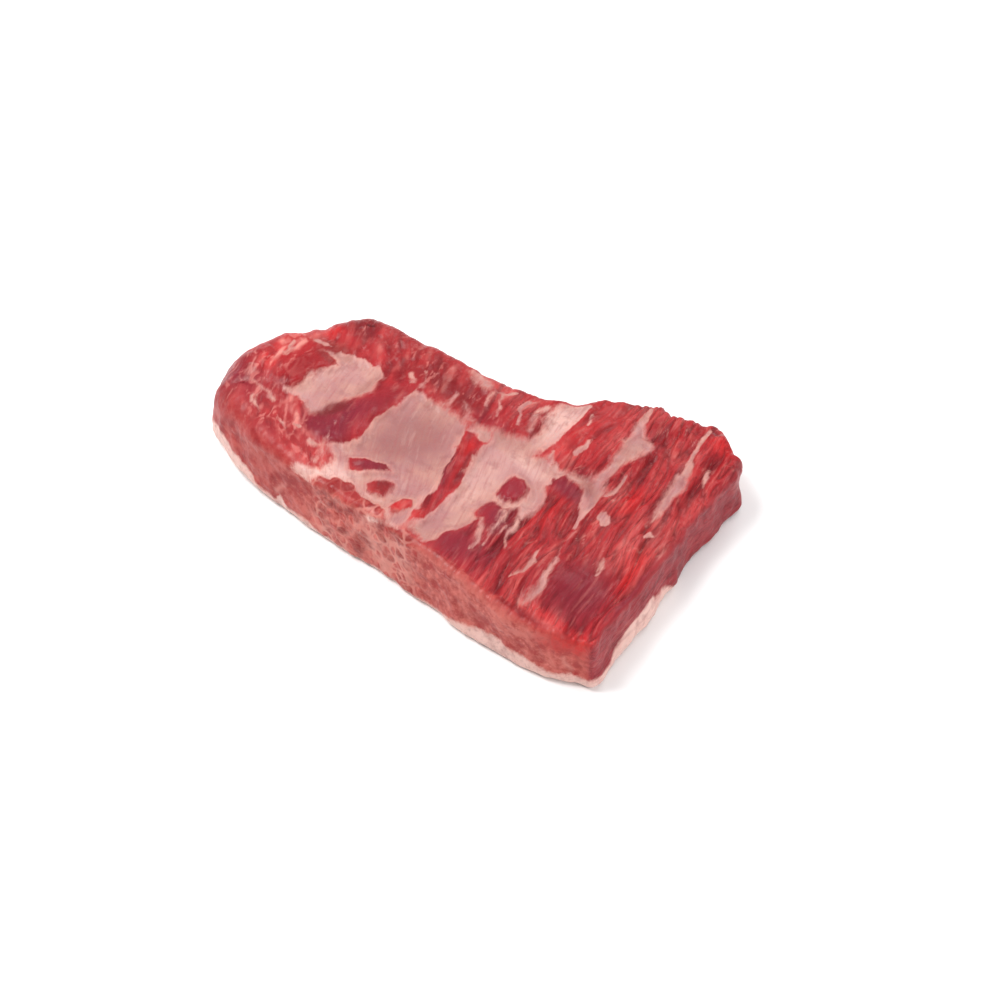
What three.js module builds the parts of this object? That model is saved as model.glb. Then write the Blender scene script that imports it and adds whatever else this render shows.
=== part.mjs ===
// Raw beef brisket, one solid piece of meat lying on its fat cap. Millimetres, +Z up.
// The long side lies along X, the thick rounded end towards -X and the thin cut end towards +X.
// The outline is drawn in a plan of its own, and the finished solid is centred over its own box.
import * as THREE from "three";

// Outline at the widest level, in mm, side by side and anticlockwise seen from above.
const NEAR_SIDE = [[-226, -57], [-164, -74], [-100, -77], [-21, -75], [57, -77], [109, -73], [141, -59]];
const CUT_END = [[151, -55], [148, -36], [145, -2], [139, 38], [132, 87], [130, 127], [126, 155], [106, 168]];
const FAR_SIDE = [[86, 179], [63, 170], [25, 156], [4, 141], [-12, 121], [-39, 109], [-89, 99], [-145, 95]];
const ROUND_END = [
  [-182, 92], [-199, 83], [-213, 69], [-222, 56], [-226, 43], [-237, 32], [-244, 6], [-243, -22], [-235, -41],
];

// Thickness along the near side, as [x, thickness], and how much thinner the far side is.
const THICKNESS = [[-240, 59], [-120, 60], [-20, 59], [60, 55], [110, 49], [150, 43]];
const FAR_LOSS = [[-240, 1], [-60, 4], [60, 9], [150, 7]];
const FAR_LOSS_WIDTH = 240;

// Radius of the shoulder between the side and the top, and of the lower edge, as [share of the side, radius].
const SHOULDER = {
  near: [[0, 26], [0.12, 15], [0.35, 6], [1, 5]],
  cut: [[0, 4], [0.7, 5], [1, 8]],
  far: [[0, 8], [0.6, 11], [1, 18]],
  round: [[0, 24], [0.3, 30], [1, 30]],
};
const LOWER_EDGE = {
  near: [[0, 13], [0.3, 6], [1, 5]],
  cut: [[0, 4], [1, 6]],
  far: [[0, 6], [1, 9]],
  round: [[0, 9], [1, 14]],
};
const SIDE_LEAN = 2;

// Mesh divisions: along the long sides, across the ends, and round the profile of the side.
// The divisions along the long sides crowd towards the cut end, where the strands run.
const LONG_STEPS = 120;
const CROSS_STEPS = 28;
const LOWER_ARC_STEPS = 2;
const WALL_STEPS = 2;
const SHOULDER_ARC_STEPS = 3;
const OUTLINE_SAMPLES = 240;
const CROWDING = 0.35;
const BLEND_STEPS = 5;
const CORNER_STEPS = 4;

// Hollows over the ribs, filled with pale fat: centre, half size, corner radius and depth.
const RIB_HOLLOWS = [
  { x: -150, y: 16, halfX: 22, halfY: 28, corner: 12, depth: 4.5 },
  { x: -73, y: -2, halfX: 30, halfY: 48, corner: 14, depth: 4.5 },
  { x: -4, y: 4, halfX: 22, halfY: 60, corner: 12, depth: 3.5 },
];
const HOLLOW_RIM = 5;

// Rolls of muscle that stand proud: centre, half lengths and height.
const ROLLS = [
  { x: -200, y: -6, alongX: 34, alongY: 38, height: 5 },
  { x: -190, y: 68, alongX: 26, alongY: 18, height: 4 },
  { x: -110, y: 76, alongX: 80, alongY: 15, height: 3.5 },
  { x: -116, y: 2, alongX: 9, alongY: 48, height: 1.5 },
  { x: -28, y: -18, alongX: 7, alongY: 42, height: 2 },
  { x: 62, y: 112, alongX: 60, alongY: 40, height: 3 },
  { x: 95, y: -20, alongX: 40, alongY: 40, height: 2 },
];

// The fold between the two rolls of the round end.
const FOLD = { from: [-228, 44], to: [-145, 41], depth: 6, halfWidth: 7, runOut: 1.5 };

// Muscle strands that run across the cut half, from the near side to the far side, where they calm down.
const STRANDS = {
  start: 18, full: 44, spacing: 13, height: 1.9, lean: 0.09, extraLean: 0.16, leanFrom: 45, leanTo: 130,
  straightAt: 40, calmFrom: 70, calmTo: 125, calmLoss: 0.75, unevenSize: 40, unevenShare: 0.3,
};
const RIM_STRANDS = { x: -32, y: 82, halfX: 34, halfY: 30, spacing: 14, height: 1 };

// Shape of the ridges: how far they wander in shares of their spacing, over how many spacings, how much longer
// than wide that wander is, and the height that their grooves lie below the tops.
const RIDGE = { wander: 0.3, wanderSize: 3, stretch: 5, grooveDepth: 2, level: 1.3 };

// Uneven lumps of the whole surface, as size and height, and the ragged far edge of the strands.
const TOP_LUMPS = { size: 34, height: 2.2 };
const SIDE_LUMPS = { size: 21, height: 2.0 };
const FINE_LUMPS = { size: 9, height: 0.8 };
const RAGGED_EDGE = { size: 11, height: 2.2, fromX: -10, fromY: 90, easeIn: 30, upright: 0.3 };

// Layers of the noise that the ridges' wander and their uneven height are read from.
const RIDGE_LAYER = 3;
const UNEVEN_LAYER = 7;

// Fat cap lip at the foot of the cut end, which stands out until it stops short of the far corner.
const CAP_LIP = { out: 2.5, height: 13, edge: 4, fromX: 110, fullX: 125, stopY: 56, stopWidth: 7 };

// Look of the plain solid.
const RAW_MEAT = { color: 0xa8343a, roughness: 0.45, metalness: 0 };

const smooth = (low, high, value) => {
  const t = Math.min(1, Math.max(0, (value - low) / (high - low)));
  return t * t * (3 - 2 * t);
};

// A number from 0 to 1 that belongs to a lattice point.
function latticeValue(i, j, k) {
  let h = Math.imul(i, 374761393) ^ Math.imul(j, 668265263) ^ Math.imul(k, 1442695041);
  h = Math.imul(h ^ (h >>> 13), 1274126177);
  return ((h ^ (h >>> 16)) >>> 0) / 4294967296;
}

// Smooth noise from -1 to 1, with lumps about as wide as size.
function lumps(x, y, z, size) {
  const [px, py, pz] = [x / size, y / size, z / size];
  const [i, j, k] = [Math.floor(px), Math.floor(py), Math.floor(pz)];
  const [u, v, w] = [smooth(0, 1, px - i), smooth(0, 1, py - j), smooth(0, 1, pz - k)];
  let sum = 0;
  for (const di of [0, 1])
    for (const dj of [0, 1])
      for (const dk of [0, 1]) {
        const weight = (di ? u : 1 - u) * (dj ? v : 1 - v) * (dk ? w : 1 - w);
        sum += weight * latticeValue(i + di, j + dj, k + dk);
      }
  return 2 * sum - 1;
}

// Value at x of a row of [x, value] stations, eased from one to the next.
function alongStations(stations, x) {
  let value = stations[0][1];
  for (let i = 1; i < stations.length; i++) {
    const [[x0, v0], [x1, v1]] = [stations[i - 1], stations[i]];
    if (x > x0) value = v0 + (v1 - v0) * Math.min(1, (x - x0) / (x1 - x0));
  }
  return value;
}

// Signed distance to a box with round corners, seen from above.
function hollowDistance(hollow, x, y) {
  const dx = Math.abs(x - hollow.x) - hollow.halfX + hollow.corner;
  const dy = Math.abs(y - hollow.y) - hollow.halfY + hollow.corner;
  return Math.hypot(Math.max(dx, 0), Math.max(dy, 0)) + Math.min(Math.max(dx, dy), 0) - hollow.corner;
}

// Relief of the rib hollows, which are deepest in the middle and rise at the rim.
function hollowRelief(x, y) {
  return RIB_HOLLOWS.reduce(
    (sum, hollow) => sum - hollow.depth * smooth(HOLLOW_RIM, -2 * HOLLOW_RIM, hollowDistance(hollow, x, y)), 0);
}

function rollRelief(x, y) {
  return ROLLS.reduce((sum, roll) => {
    const reach = ((x - roll.x) / roll.alongX) ** 2 + ((y - roll.y) / roll.alongY) ** 2;
    return sum + roll.height * Math.exp(-reach);
  }, 0);
}

// The fold is a groove that is deepest at the end of the meat and runs out along its length.
function foldRelief(x, y) {
  const [x0, y0] = FOLD.from;
  const [x1, y1] = FOLD.to;
  const t = Math.min(1, Math.max(0, (x - x0) / (x1 - x0)));
  const off = (y - y0 - t * (y1 - y0)) / FOLD.halfWidth;
  return -FOLD.depth * (1 - t) ** FOLD.runOut * Math.exp(-off * off);
}

// Rounded ridges with narrow grooves between them, of uneven width, from a coordinate across them.
function ridges(across, along, spacing) {
  const wander = RIDGE.wander * lumps(across, along / RIDGE.stretch, RIDGE_LAYER, RIDGE.wanderSize * spacing);
  return RIDGE.grooveDepth * Math.abs(Math.sin(Math.PI * (across / spacing + wander))) - RIDGE.level;
}

function strandRelief(x, y) {
  const lean = STRANDS.lean + STRANDS.extraLean * smooth(STRANDS.leanFrom, STRANDS.leanTo, x);
  const across = x + lean * (y - STRANDS.straightAt);
  const uneven = 1 - STRANDS.unevenShare * (1 - lumps(x, y, UNEVEN_LAYER, STRANDS.unevenSize));
  const calm = 1 - STRANDS.calmLoss * smooth(STRANDS.calmFrom, STRANDS.calmTo, y);
  const field = STRANDS.height * smooth(STRANDS.start, STRANDS.full, x) * uneven * calm
    * ridges(across, y, STRANDS.spacing);
  const reach = ((x - RIM_STRANDS.x) / RIM_STRANDS.halfX) ** 4 + ((y - RIM_STRANDS.y) / RIM_STRANDS.halfY) ** 4;
  return field + RIM_STRANDS.height * Math.exp(-reach) * ridges(x, y, RIM_STRANDS.spacing);
}

// Height of the top over the underside.
function topHeight(x, y) {
  const loss = alongStations(FAR_LOSS, x) * (y - NEAR_SIDE[1][1]) / FAR_LOSS_WIDTH;
  return alongStations(THICKNESS, x) - loss
    + rollRelief(x, y) + hollowRelief(x, y) + foldRelief(x, y) + strandRelief(x, y)
    + TOP_LUMPS.height * lumps(x, y, 0, TOP_LUMPS.size)
    + FINE_LUMPS.height * lumps(x, y, 0, FINE_LUMPS.size);
}

// Share of a long side that lies before a division, counted from the round end.
const crowded = (t) => t + CROWDING * t * (1 - t);

// One side of the outline, cut into steps of its length; share turns a step into its part of that length.
function sidePoints(curve, first, last, controls, steps, share) {
  const samples = Array.from({ length: OUTLINE_SAMPLES + 1 }, (_, i) =>
    curve.getPoint(((first + (last - first) * i / OUTLINE_SAMPLES) / controls) % 1));
  const lengths = [0];
  for (let i = 1; i < samples.length; i++) lengths.push(lengths[i - 1] + samples[i].distanceTo(samples[i - 1]));
  const total = lengths[OUTLINE_SAMPLES];
  let at = 0;
  return Array.from({ length: steps }, (_, step) => {
    const wanted = total * share(step / steps);
    while (lengths[at + 1] < wanted) at++;
    return samples[at].clone().lerp(samples[at + 1], (wanted - lengths[at]) / (lengths[at + 1] - lengths[at]));
  });
}

// The closed outline as points, each with its side, how far along it lies, and the way that faces out.
function makeOutline() {
  const sides = [NEAR_SIDE, CUT_END, FAR_SIDE, ROUND_END];
  const controls = sides.flat().map(([x, y]) => new THREE.Vector3(x, y, 0));
  const curve = new THREE.CatmullRomCurve3(controls, true, "centripetal");
  const names = ["near", "cut", "far", "round"];
  const shares = [crowded, (t) => t, (t) => 1 - crowded(1 - t), (t) => t];
  const ring = [];
  let first = 0;
  sides.forEach((side, n) => {
    const steps = n % 2 ? CROSS_STEPS : LONG_STEPS;
    const points = sidePoints(curve, first, first + side.length, controls.length, steps, shares[n]);
    points.forEach((point, i) => ring.push({ point, side: names[n], along: shares[n](i / steps) }));
    first += side.length;
  });
  const around = (i) => ring[(i + ring.length) % ring.length];
  const squarely = ring.map((_, i) => {
    const along = around(i + 1).point.clone().sub(around(i - 1).point).normalize();
    return new THREE.Vector3(along.y, -along.x, 0);
  });
  ring.forEach((spot, i) => {
    spot.outward = new THREE.Vector3();
    for (let d = -CORNER_STEPS; d <= CORNER_STEPS; d++)
      spot.outward.add(squarely[(i + d + ring.length) % ring.length]);
    spot.outward.normalize();
  });
  return ring;
}

// A radius that eases along each side, averaged over a few steps of the outline.
function blendedRadius(ring, i, radii) {
  let sum = 0;
  for (let d = -BLEND_STEPS; d <= BLEND_STEPS; d++) {
    const { side, along } = ring[(i + d + ring.length) % ring.length];
    sum += alongStations(radii[side], along);
  }
  return sum / (2 * BLEND_STEPS + 1);
}

// How far a point of the side stands out from the plain wall.
function sideRelief(point, z) {
  const ragged = RAGGED_EDGE.height
    * smooth(RAGGED_EDGE.fromX, RAGGED_EDGE.fromX + RAGGED_EDGE.easeIn, point.x)
    * smooth(RAGGED_EDGE.fromY, RAGGED_EDGE.fromY + RAGGED_EDGE.easeIn, point.y)
    * lumps(point.x, point.y, z * RAGGED_EDGE.upright, RAGGED_EDGE.size);
  const lip = CAP_LIP.out * smooth(CAP_LIP.fromX, CAP_LIP.fullX, point.x)
    * smooth(CAP_LIP.stopY + CAP_LIP.stopWidth, CAP_LIP.stopY, point.y)
    * smooth(CAP_LIP.height + CAP_LIP.edge, CAP_LIP.height - CAP_LIP.edge, z);
  return SIDE_LUMPS.height * lumps(point.x, point.y, z, SIDE_LUMPS.size)
    + FINE_LUMPS.height * lumps(point.x, point.y, z, FINE_LUMPS.size) + ragged + lip;
}

// The rings of the side, from the flat underside up to the start of the top.
function sideRings(ring) {
  const profile = [];
  for (let i = 0; i <= LOWER_ARC_STEPS; i++) profile.push({ part: "lower", turn: i / LOWER_ARC_STEPS });
  for (let i = 1; i <= WALL_STEPS; i++) profile.push({ part: "wall", turn: i / (WALL_STEPS + 1) });
  for (let i = 0; i <= SHOULDER_ARC_STEPS; i++) profile.push({ part: "shoulder", turn: i / SHOULDER_ARC_STEPS });
  const columns = ring.map((spot, i) => {
    const shoulder = blendedRadius(ring, i, SHOULDER);
    const lower = blendedRadius(ring, i, LOWER_EDGE);
    const inner = spot.point.clone().addScaledVector(spot.outward, -shoulder - SIDE_LEAN);
    const top = topHeight(inner.x, inner.y);
    return profile.map(({ part, turn }) => {
      const angle = turn * Math.PI / 2;
      let inset = lower * (1 - Math.sin(angle));
      let z = lower * (1 - Math.cos(angle));
      if (part === "wall") {
        inset = SIDE_LEAN * turn;
        z = lower + (top - shoulder - lower) * turn;
      } else if (part === "shoulder") {
        inset = SIDE_LEAN + shoulder * (1 - Math.cos(angle));
        z = top - shoulder * (1 - Math.sin(angle));
      }
      const fade = part === "shoulder" ? 1 - turn : part === "lower" ? turn : 1;
      const out = sideRelief(spot.point, z) * fade - inset;
      return spot.point.clone().addScaledVector(spot.outward, out).setZ(z);
    });
  });
  return profile.map((_, level) => columns.map((column) => column[level]));
}

// A sheet stretched between the four sides of a closed ring of points.
function sheetPoint(edge, i, j) {
  const u = crowded(i / LONG_STEPS);
  const v = j / CROSS_STEPS;
  const near = edge[i];
  const cut = edge[LONG_STEPS + j];
  const far = edge[2 * LONG_STEPS + CROSS_STEPS - i];
  const round = edge[(2 * LONG_STEPS + 2 * CROSS_STEPS - j) % edge.length];
  const corners = [edge[0], edge[LONG_STEPS], edge[LONG_STEPS + CROSS_STEPS], edge[2 * LONG_STEPS + CROSS_STEPS]];
  const weights = [(1 - u) * (1 - v), u * (1 - v), u * v, (1 - u) * v];
  const point = new THREE.Vector3()
    .addScaledVector(near, 1 - v).addScaledVector(far, v)
    .addScaledVector(round, 1 - u).addScaledVector(cut, u);
  corners.forEach((corner, n) => point.addScaledVector(corner, -weights[n]));
  return point.setZ(topHeight(point.x, point.y));
}

// The closed surface of the brisket: flat underside, rings of the side, and the top sheet.
function brisketGeometry() {
  const ring = makeOutline();
  const rings = sideRings(ring);
  const count = ring.length;
  const points = rings.flat();
  const faces = [];
  const quad = (a, b, c, d) => faces.push(a, b, c, a, c, d);

  for (let level = 0; level + 1 < rings.length; level++)
    for (let i = 0; i < count; i++) {
      const next = (i + 1) % count;
      quad(level * count + i, level * count + next, (level + 1) * count + next, (level + 1) * count + i);
    }

  const underside = THREE.ShapeUtils.triangulateShape(rings[0].map((p) => new THREE.Vector2(p.x, p.y)), []);
  for (const [a, b, c] of underside) faces.push(a, c, b);

  const lastRing = (rings.length - 1) * count;
  const topIndex = Array.from({ length: LONG_STEPS + 1 }, () => []);
  for (let i = 0; i <= LONG_STEPS; i++)
    for (let j = 0; j <= CROSS_STEPS; j++) {
      if (j === 0) topIndex[i][j] = lastRing + i;
      else if (i === LONG_STEPS) topIndex[i][j] = lastRing + LONG_STEPS + j;
      else if (j === CROSS_STEPS) topIndex[i][j] = lastRing + 2 * LONG_STEPS + CROSS_STEPS - i;
      else if (i === 0) topIndex[i][j] = lastRing + 2 * LONG_STEPS + 2 * CROSS_STEPS - j;
      else topIndex[i][j] = points.push(sheetPoint(rings[rings.length - 1], i, j)) - 1;
    }
  for (let i = 0; i < LONG_STEPS; i++)
    for (let j = 0; j < CROSS_STEPS; j++)
      quad(topIndex[i + 1][j], topIndex[i + 1][j + 1], topIndex[i][j + 1], topIndex[i][j]);

  const geometry = new THREE.BufferGeometry();
  geometry.setAttribute("position", new THREE.Float32BufferAttribute(points.flatMap((p) => [p.x, p.y, p.z]), 3));
  geometry.setIndex(faces);
  geometry.computeBoundingBox();
  const { min, max } = geometry.boundingBox;
  geometry.translate(-(min.x + max.x) / 2, -(min.y + max.y) / 2, -min.z);
  geometry.computeVertexNormals();
  return geometry;
}

function makeBrisket() {
  const rawMeat = new THREE.MeshStandardMaterial(RAW_MEAT);
  const brisket = new THREE.Mesh(brisketGeometry(), rawMeat);
  brisket.name = "brisket";
  return brisket;
}

const group = new THREE.Group();
group.add(makeBrisket());

export default group;
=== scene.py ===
"""A raw beef brisket that lies on its fat cap, with pale fat windows over the ribs and coarse strands.

The slab is worked out in millimetres, in the plan that its outline is drawn in, and turned into metres
in the shared frame when its mesh is made.
"""
from __future__ import annotations

import logging
from dataclasses import dataclass, field
from enum import Enum, IntEnum
from functools import cached_property
from typing import Sequence

import bpy
import numpy as np
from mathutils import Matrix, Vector

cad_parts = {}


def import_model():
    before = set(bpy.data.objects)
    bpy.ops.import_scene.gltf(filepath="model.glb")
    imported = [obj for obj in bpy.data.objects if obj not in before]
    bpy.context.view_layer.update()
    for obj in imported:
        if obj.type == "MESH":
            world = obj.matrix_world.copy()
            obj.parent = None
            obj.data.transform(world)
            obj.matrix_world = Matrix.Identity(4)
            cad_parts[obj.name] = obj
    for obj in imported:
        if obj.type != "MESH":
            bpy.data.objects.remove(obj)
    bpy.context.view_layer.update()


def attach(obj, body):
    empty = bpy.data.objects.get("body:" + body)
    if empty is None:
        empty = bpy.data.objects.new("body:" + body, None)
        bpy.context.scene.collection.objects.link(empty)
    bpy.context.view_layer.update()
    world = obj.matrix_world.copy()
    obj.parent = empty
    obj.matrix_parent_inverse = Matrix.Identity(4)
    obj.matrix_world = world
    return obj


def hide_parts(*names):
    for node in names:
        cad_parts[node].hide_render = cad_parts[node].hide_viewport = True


LOG = logging.getLogger("brisket")
Array = np.ndarray
Point = tuple[float, float]
Point3 = tuple[float, float, float]
Span = tuple[float, float]
Stations = tuple[tuple[float, float], ...]
Patch = tuple[Point, ...]
Seam = tuple[tuple[float, float, float], ...]
Colour = tuple[float, float, float, float]
Socket = bpy.types.NodeSocket
Feed = Socket | float | tuple
Inputs = dict[str | int, Feed]
Masks = dict[str, Socket]

MM = 0.001
ORIGIN = (0.0, 0.0, 0.0)
NODE = "brisket"
SLOT = "raw_meat"
BODY = "root"
PLAN_CENTRE = (-45.27, 49.90)
FIBRE = "fibre"
HASH_FACTORS = (374761393, 668265263, 1442695041)
HASH_SCRAMBLER = 1274126177
LARGE_SHARE = 0.62
PLAN_SMALLER, SPACE_SMALLER = 0.57, 0.53
SPACE_TURN = ((0.80, -0.36, 0.48), (0.60, 0.48, -0.64), (0.0, 0.80, 0.60))


class Side(IntEnum):
    """The four sides of the slab, anticlockwise seen from above."""

    NEAR = 0
    CUT = 1
    FAR = 2
    ROUND = 3


def ease(low: float, high: float, value: Array) -> Array:
    """Ease from 0 at low to 1 at high.

    Args:
        low: Value where the result is 0.
        high: Value where the result is 1.
        value: Values to ease.

    Returns:
        Eased values from 0 to 1.
    """
    t = np.clip((value - low) / (high - low), 0, 1)
    return t * t * (3 - 2 * t)


def raised(least: float, mask: Array) -> Array:
    """Raise a mask, so that it runs from a least value to 1."""
    return least + (1 - least) * mask


def lattice(i: Array, j: Array, k: Array) -> Array:
    """Give each lattice point a number of its own, from 0 to 1, the same each run."""
    with np.errstate(over="ignore"):
        h = np.zeros(i.shape, np.uint32)
        for index, factor in zip((i, j, k), HASH_FACTORS):
            h = h ^ (index.astype(np.uint32) * np.uint32(factor))
        h = (h ^ (h >> np.uint32(13))) * np.uint32(HASH_SCRAMBLER)
        return (h ^ (h >> np.uint32(16))).astype(np.float64) / 2 ** 32


def noise(x: Array, y: Array, z: Array | float, size: float) -> Array:
    """Make smooth lumps.

    Args:
        x: First coordinate.
        y: Second coordinate.
        z: Third coordinate.
        size: Width of a lump, in the coordinates' unit.

    Returns:
        Values from -1 to 1.
    """
    places = [v / size for v in np.broadcast_arrays(*(np.asarray(v, float) for v in (x, y, z)))]
    i, j, k = (np.floor(p).astype(np.int64) for p in places)
    u, v, w = (ease(0, 1, p - q) for p, q in zip(places, (i, j, k)))
    total = np.zeros_like(places[0])
    for di in (0, 1):
        for dj in (0, 1):
            for dk in (0, 1):
                weight = (u if di else 1 - u) * (v if dj else 1 - v) * (w if dk else 1 - w)
                total += weight * lattice(i + di, j + dj, k + dk)
    return 2 * total - 1


@dataclass(frozen=True)
class Lumps:
    """One layer of lumps.

    Attributes:
        size: Width of a lump, in mm.
        strength: How far the lumps go up and down.
        seed: Level at which the noise is read for lumps in the plan.
    """

    size: float
    strength: float = 1.0
    seed: float = 0.0

    def plan(self, x: Array, y: Array) -> Array:
        """Plain lumps at plan points."""
        return self.strength * noise(x, y, self.seed, self.size)

    def space(self, x: Array, y: Array, z: Array) -> Array:
        """Plain lumps at points in space."""
        return self.strength * noise(x, y, z, self.size)

    def mixed(self, x: Array, y: Array) -> Array:
        """Lumps of two sizes at plan points, which don't line up with the axes."""
        large = noise(0.96 * x - 0.28 * y, 0.96 * y + 0.28 * x, self.seed, self.size)
        small = noise(0.8 * x + 0.6 * y, 0.8 * y - 0.6 * x, self.seed, PLAN_SMALLER * self.size)
        return self.strength * (LARGE_SHARE * large + (1 - LARGE_SHARE) * small)

    def mottled(self, x: Array, y: Array, z: Array) -> Array:
        """Lumps of two sizes at points in space, which don't line up with the axes."""
        u, v, w = (a * x + b * y + c * z for a, b, c in SPACE_TURN)
        large, small = noise(u, v, w, self.size), noise(v, w, u, SPACE_SMALLER * self.size)
        return self.strength * (LARGE_SHARE * large + (1 - LARGE_SHARE) * small)


def piled(layers: Sequence[Lumps], x: Array, y: Array) -> Array:
    """Pile plain layers of lumps up at plan points."""
    return sum(layer.plan(x, y) for layer in layers)


def along_stations(stations: Stations, at: Array) -> Array:
    """Read a row of (place, value) stations at given places."""
    return np.interp(at, [place for place, _ in stations], [value for _, value in stations])


@dataclass(frozen=True)
class Edge:
    """One side of the outline.

    Attributes:
        points: Corner points of the smooth outline, in plan mm.
        shoulder: Radius from the side to the top, by share of the side.
        lower: Radius of the lower edge, by share of the side.
    """

    points: tuple[Point, ...]
    shoulder: Stations
    lower: Stations


@dataclass(frozen=True)
class Ring:
    """The closed outline as points, with what each point needs to grow a side.

    Attributes:
        points: Plan points.
        outward: Unit vectors that face out.
        shoulder: Shoulder radius at each point.
        lower: Lower edge radius at each point.
    """

    points: Array
    outward: Array
    shoulder: Array
    lower: Array


@dataclass(frozen=True)
class Outline:
    """The slab's outline at its widest level, side by side."""

    edges: tuple[Edge, ...] = (
        Edge(
            ((-226, -57), (-164, -74), (-100, -77), (-21, -75), (57, -77), (109, -73), (141, -59)),
            ((0, 26), (0.12, 15), (0.35, 6), (1, 5)),
            ((0, 13), (0.3, 6), (1, 5)),
        ),
        Edge(
            ((151, -55), (148, -36), (145, -2), (139, 38), (132, 87), (130, 127), (126, 155), (106, 168)),
            ((0, 4), (0.7, 5), (1, 8)),
            ((0, 4), (1, 6)),
        ),
        Edge(
            ((86, 179), (63, 170), (25, 156), (4, 141), (-12, 121), (-39, 109), (-89, 99), (-145, 95)),
            ((0, 8), (0.6, 11), (1, 18)),
            ((0, 6), (1, 9)),
        ),
        Edge(
            ((-182, 92), (-199, 83), (-213, 69), (-222, 56), (-226, 43), (-237, 32), (-244, 6),
             (-243, -22), (-235, -41)),
            ((0, 24), (0.3, 30), (1, 30)),
            ((0, 9), (1, 14)),
        ),
    )
    crowding: float = 0.35
    coarse_long: int = 120
    coarse_cross: int = 28
    samples: int = 2400
    corner_steps: int = 4
    blend_steps: int = 5

    def share(self, side: Side, t: Array) -> Array:
        """Place even steps along a side, crowded towards the cut end on the long sides.

        Args:
            side: The side.
            t: Steps from 0 to 1.

        Returns:
            Shares of the side's length.
        """
        if side is Side.NEAR:
            return t + self.crowding * t * (1 - t)
        if side is Side.FAR:
            return 1 - self.share(Side.NEAR, 1 - t)
        return t

    @staticmethod
    def steps(long_steps: int, cross_steps: int) -> list[int]:
        """Steps of the four sides in turn: near side, cut end, far side, round end."""
        return [long_steps, cross_steps, long_steps, cross_steps]

    def curve(self, t: Array) -> Array:
        """Follow the smooth closed curve through all the corner points.

        Args:
            t: Places from 0 to 1 round the outline.

        Returns:
            Plan points.
        """
        controls = np.array([p for edge in self.edges for p in edge.points], float)
        count = len(controls)
        place = (count * t) % count
        i = np.floor(place).astype(int)
        w = (place - i)[:, None]
        p0, p1, p2, p3 = (controls[(i + d) % count] for d in (-1, 0, 1, 2))
        pairs = ((p0, p1), (p1, p2), (p2, p3))
        d0, d1, d2 = (np.sqrt(np.linalg.norm(b - a, axis=1))[:, None] for a, b in pairs)
        t1 = ((p1 - p0) / d0 - (p2 - p0) / (d0 + d1) + (p2 - p1) / d1) * d1
        t2 = ((p2 - p1) / d1 - (p3 - p1) / (d1 + d2) + (p3 - p2) / d2) * d1
        cubic = 2 * p1 - 2 * p2 + t1 + t2
        square = -3 * p1 + 3 * p2 - 2 * t1 - t2
        return p1 + t1 * w + square * w ** 2 + cubic * w ** 3

    def side_points(self, side: Side, steps: int) -> Array:
        """Cut one side into steps of its length.

        Args:
            side: The side.
            steps: Number of steps.

        Returns:
            Plan points, without the side's last one.
        """
        total = sum(len(edge.points) for edge in self.edges)
        first = sum(len(edge.points) for edge in self.edges[:side])
        span = len(self.edges[side].points) * np.arange(self.samples + 1) / self.samples
        path = self.curve(((first + span) / total) % 1)
        length = np.concatenate([[0], np.cumsum(np.hypot(*np.diff(path, axis=0).T))])
        want = length[-1] * self.share(side, np.arange(steps) / steps)
        return np.stack([np.interp(want, length, path[:, axis]) for axis in (0, 1)], 1)

    def _averaged(self, values: Array, reach: int) -> Array:
        """Average values round the ring over a few steps each way."""
        return sum(np.roll(values, d, axis=0) for d in range(-reach, reach + 1)) / (2 * reach + 1)

    def coarse_ring(self) -> Ring:
        """Work out the ring at the solid's own steps, which settles its radii and directions."""
        counts = self.steps(self.coarse_long, self.coarse_cross)
        points = np.concatenate([self.side_points(side, counts[side]) for side in Side])
        along = np.roll(points, -1, 0) - np.roll(points, 1, 0)
        along /= np.linalg.norm(along, axis=1, keepdims=True)
        outward = self._averaged(np.stack([along[:, 1], -along[:, 0]], 1), self.corner_steps)
        outward /= np.linalg.norm(outward, axis=1, keepdims=True)
        shares = [self.share(side, np.arange(counts[side]) / counts[side]) for side in Side]
        shoulder = np.concatenate([along_stations(edge.shoulder, s) for edge, s in zip(self.edges, shares)])
        lower = np.concatenate([along_stations(edge.lower, s) for edge, s in zip(self.edges, shares)])
        shoulder, lower = (self._averaged(radii, self.blend_steps) for radii in (shoulder, lower))
        return Ring(points, outward, shoulder, lower)

    def ring(self, long_steps: int, cross_steps: int) -> Ring:
        """Work out a finer ring that keeps the coarse ring's radii and directions.

        Args:
            long_steps: Steps along each long side.
            cross_steps: Steps along each end.

        Returns:
            The fine ring.
        """
        coarse = self.coarse_ring()
        count = len(coarse.points)
        points, places, first = [], [], 0
        counts = self.steps(long_steps, cross_steps)
        for side, fine, own in zip(Side, counts, self.steps(self.coarse_long, self.coarse_cross)):
            points.append(self.side_points(side, fine))
            places.append(first + own * np.arange(fine) / fine)
            first += own
        place = np.concatenate(places)
        lower, weight = np.floor(place).astype(int), place % 1

        def between(values: Array) -> Array:
            """Read coarse values between two of the coarse steps."""
            w = weight[:, None] if values.ndim == 2 else weight
            return values[lower % count] * (1 - w) + values[(lower + 1) % count] * w

        outward = between(coarse.outward)
        outward /= np.linalg.norm(outward, axis=1, keepdims=True)
        return Ring(np.concatenate(points), outward, between(coarse.shoulder), between(coarse.lower))


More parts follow.
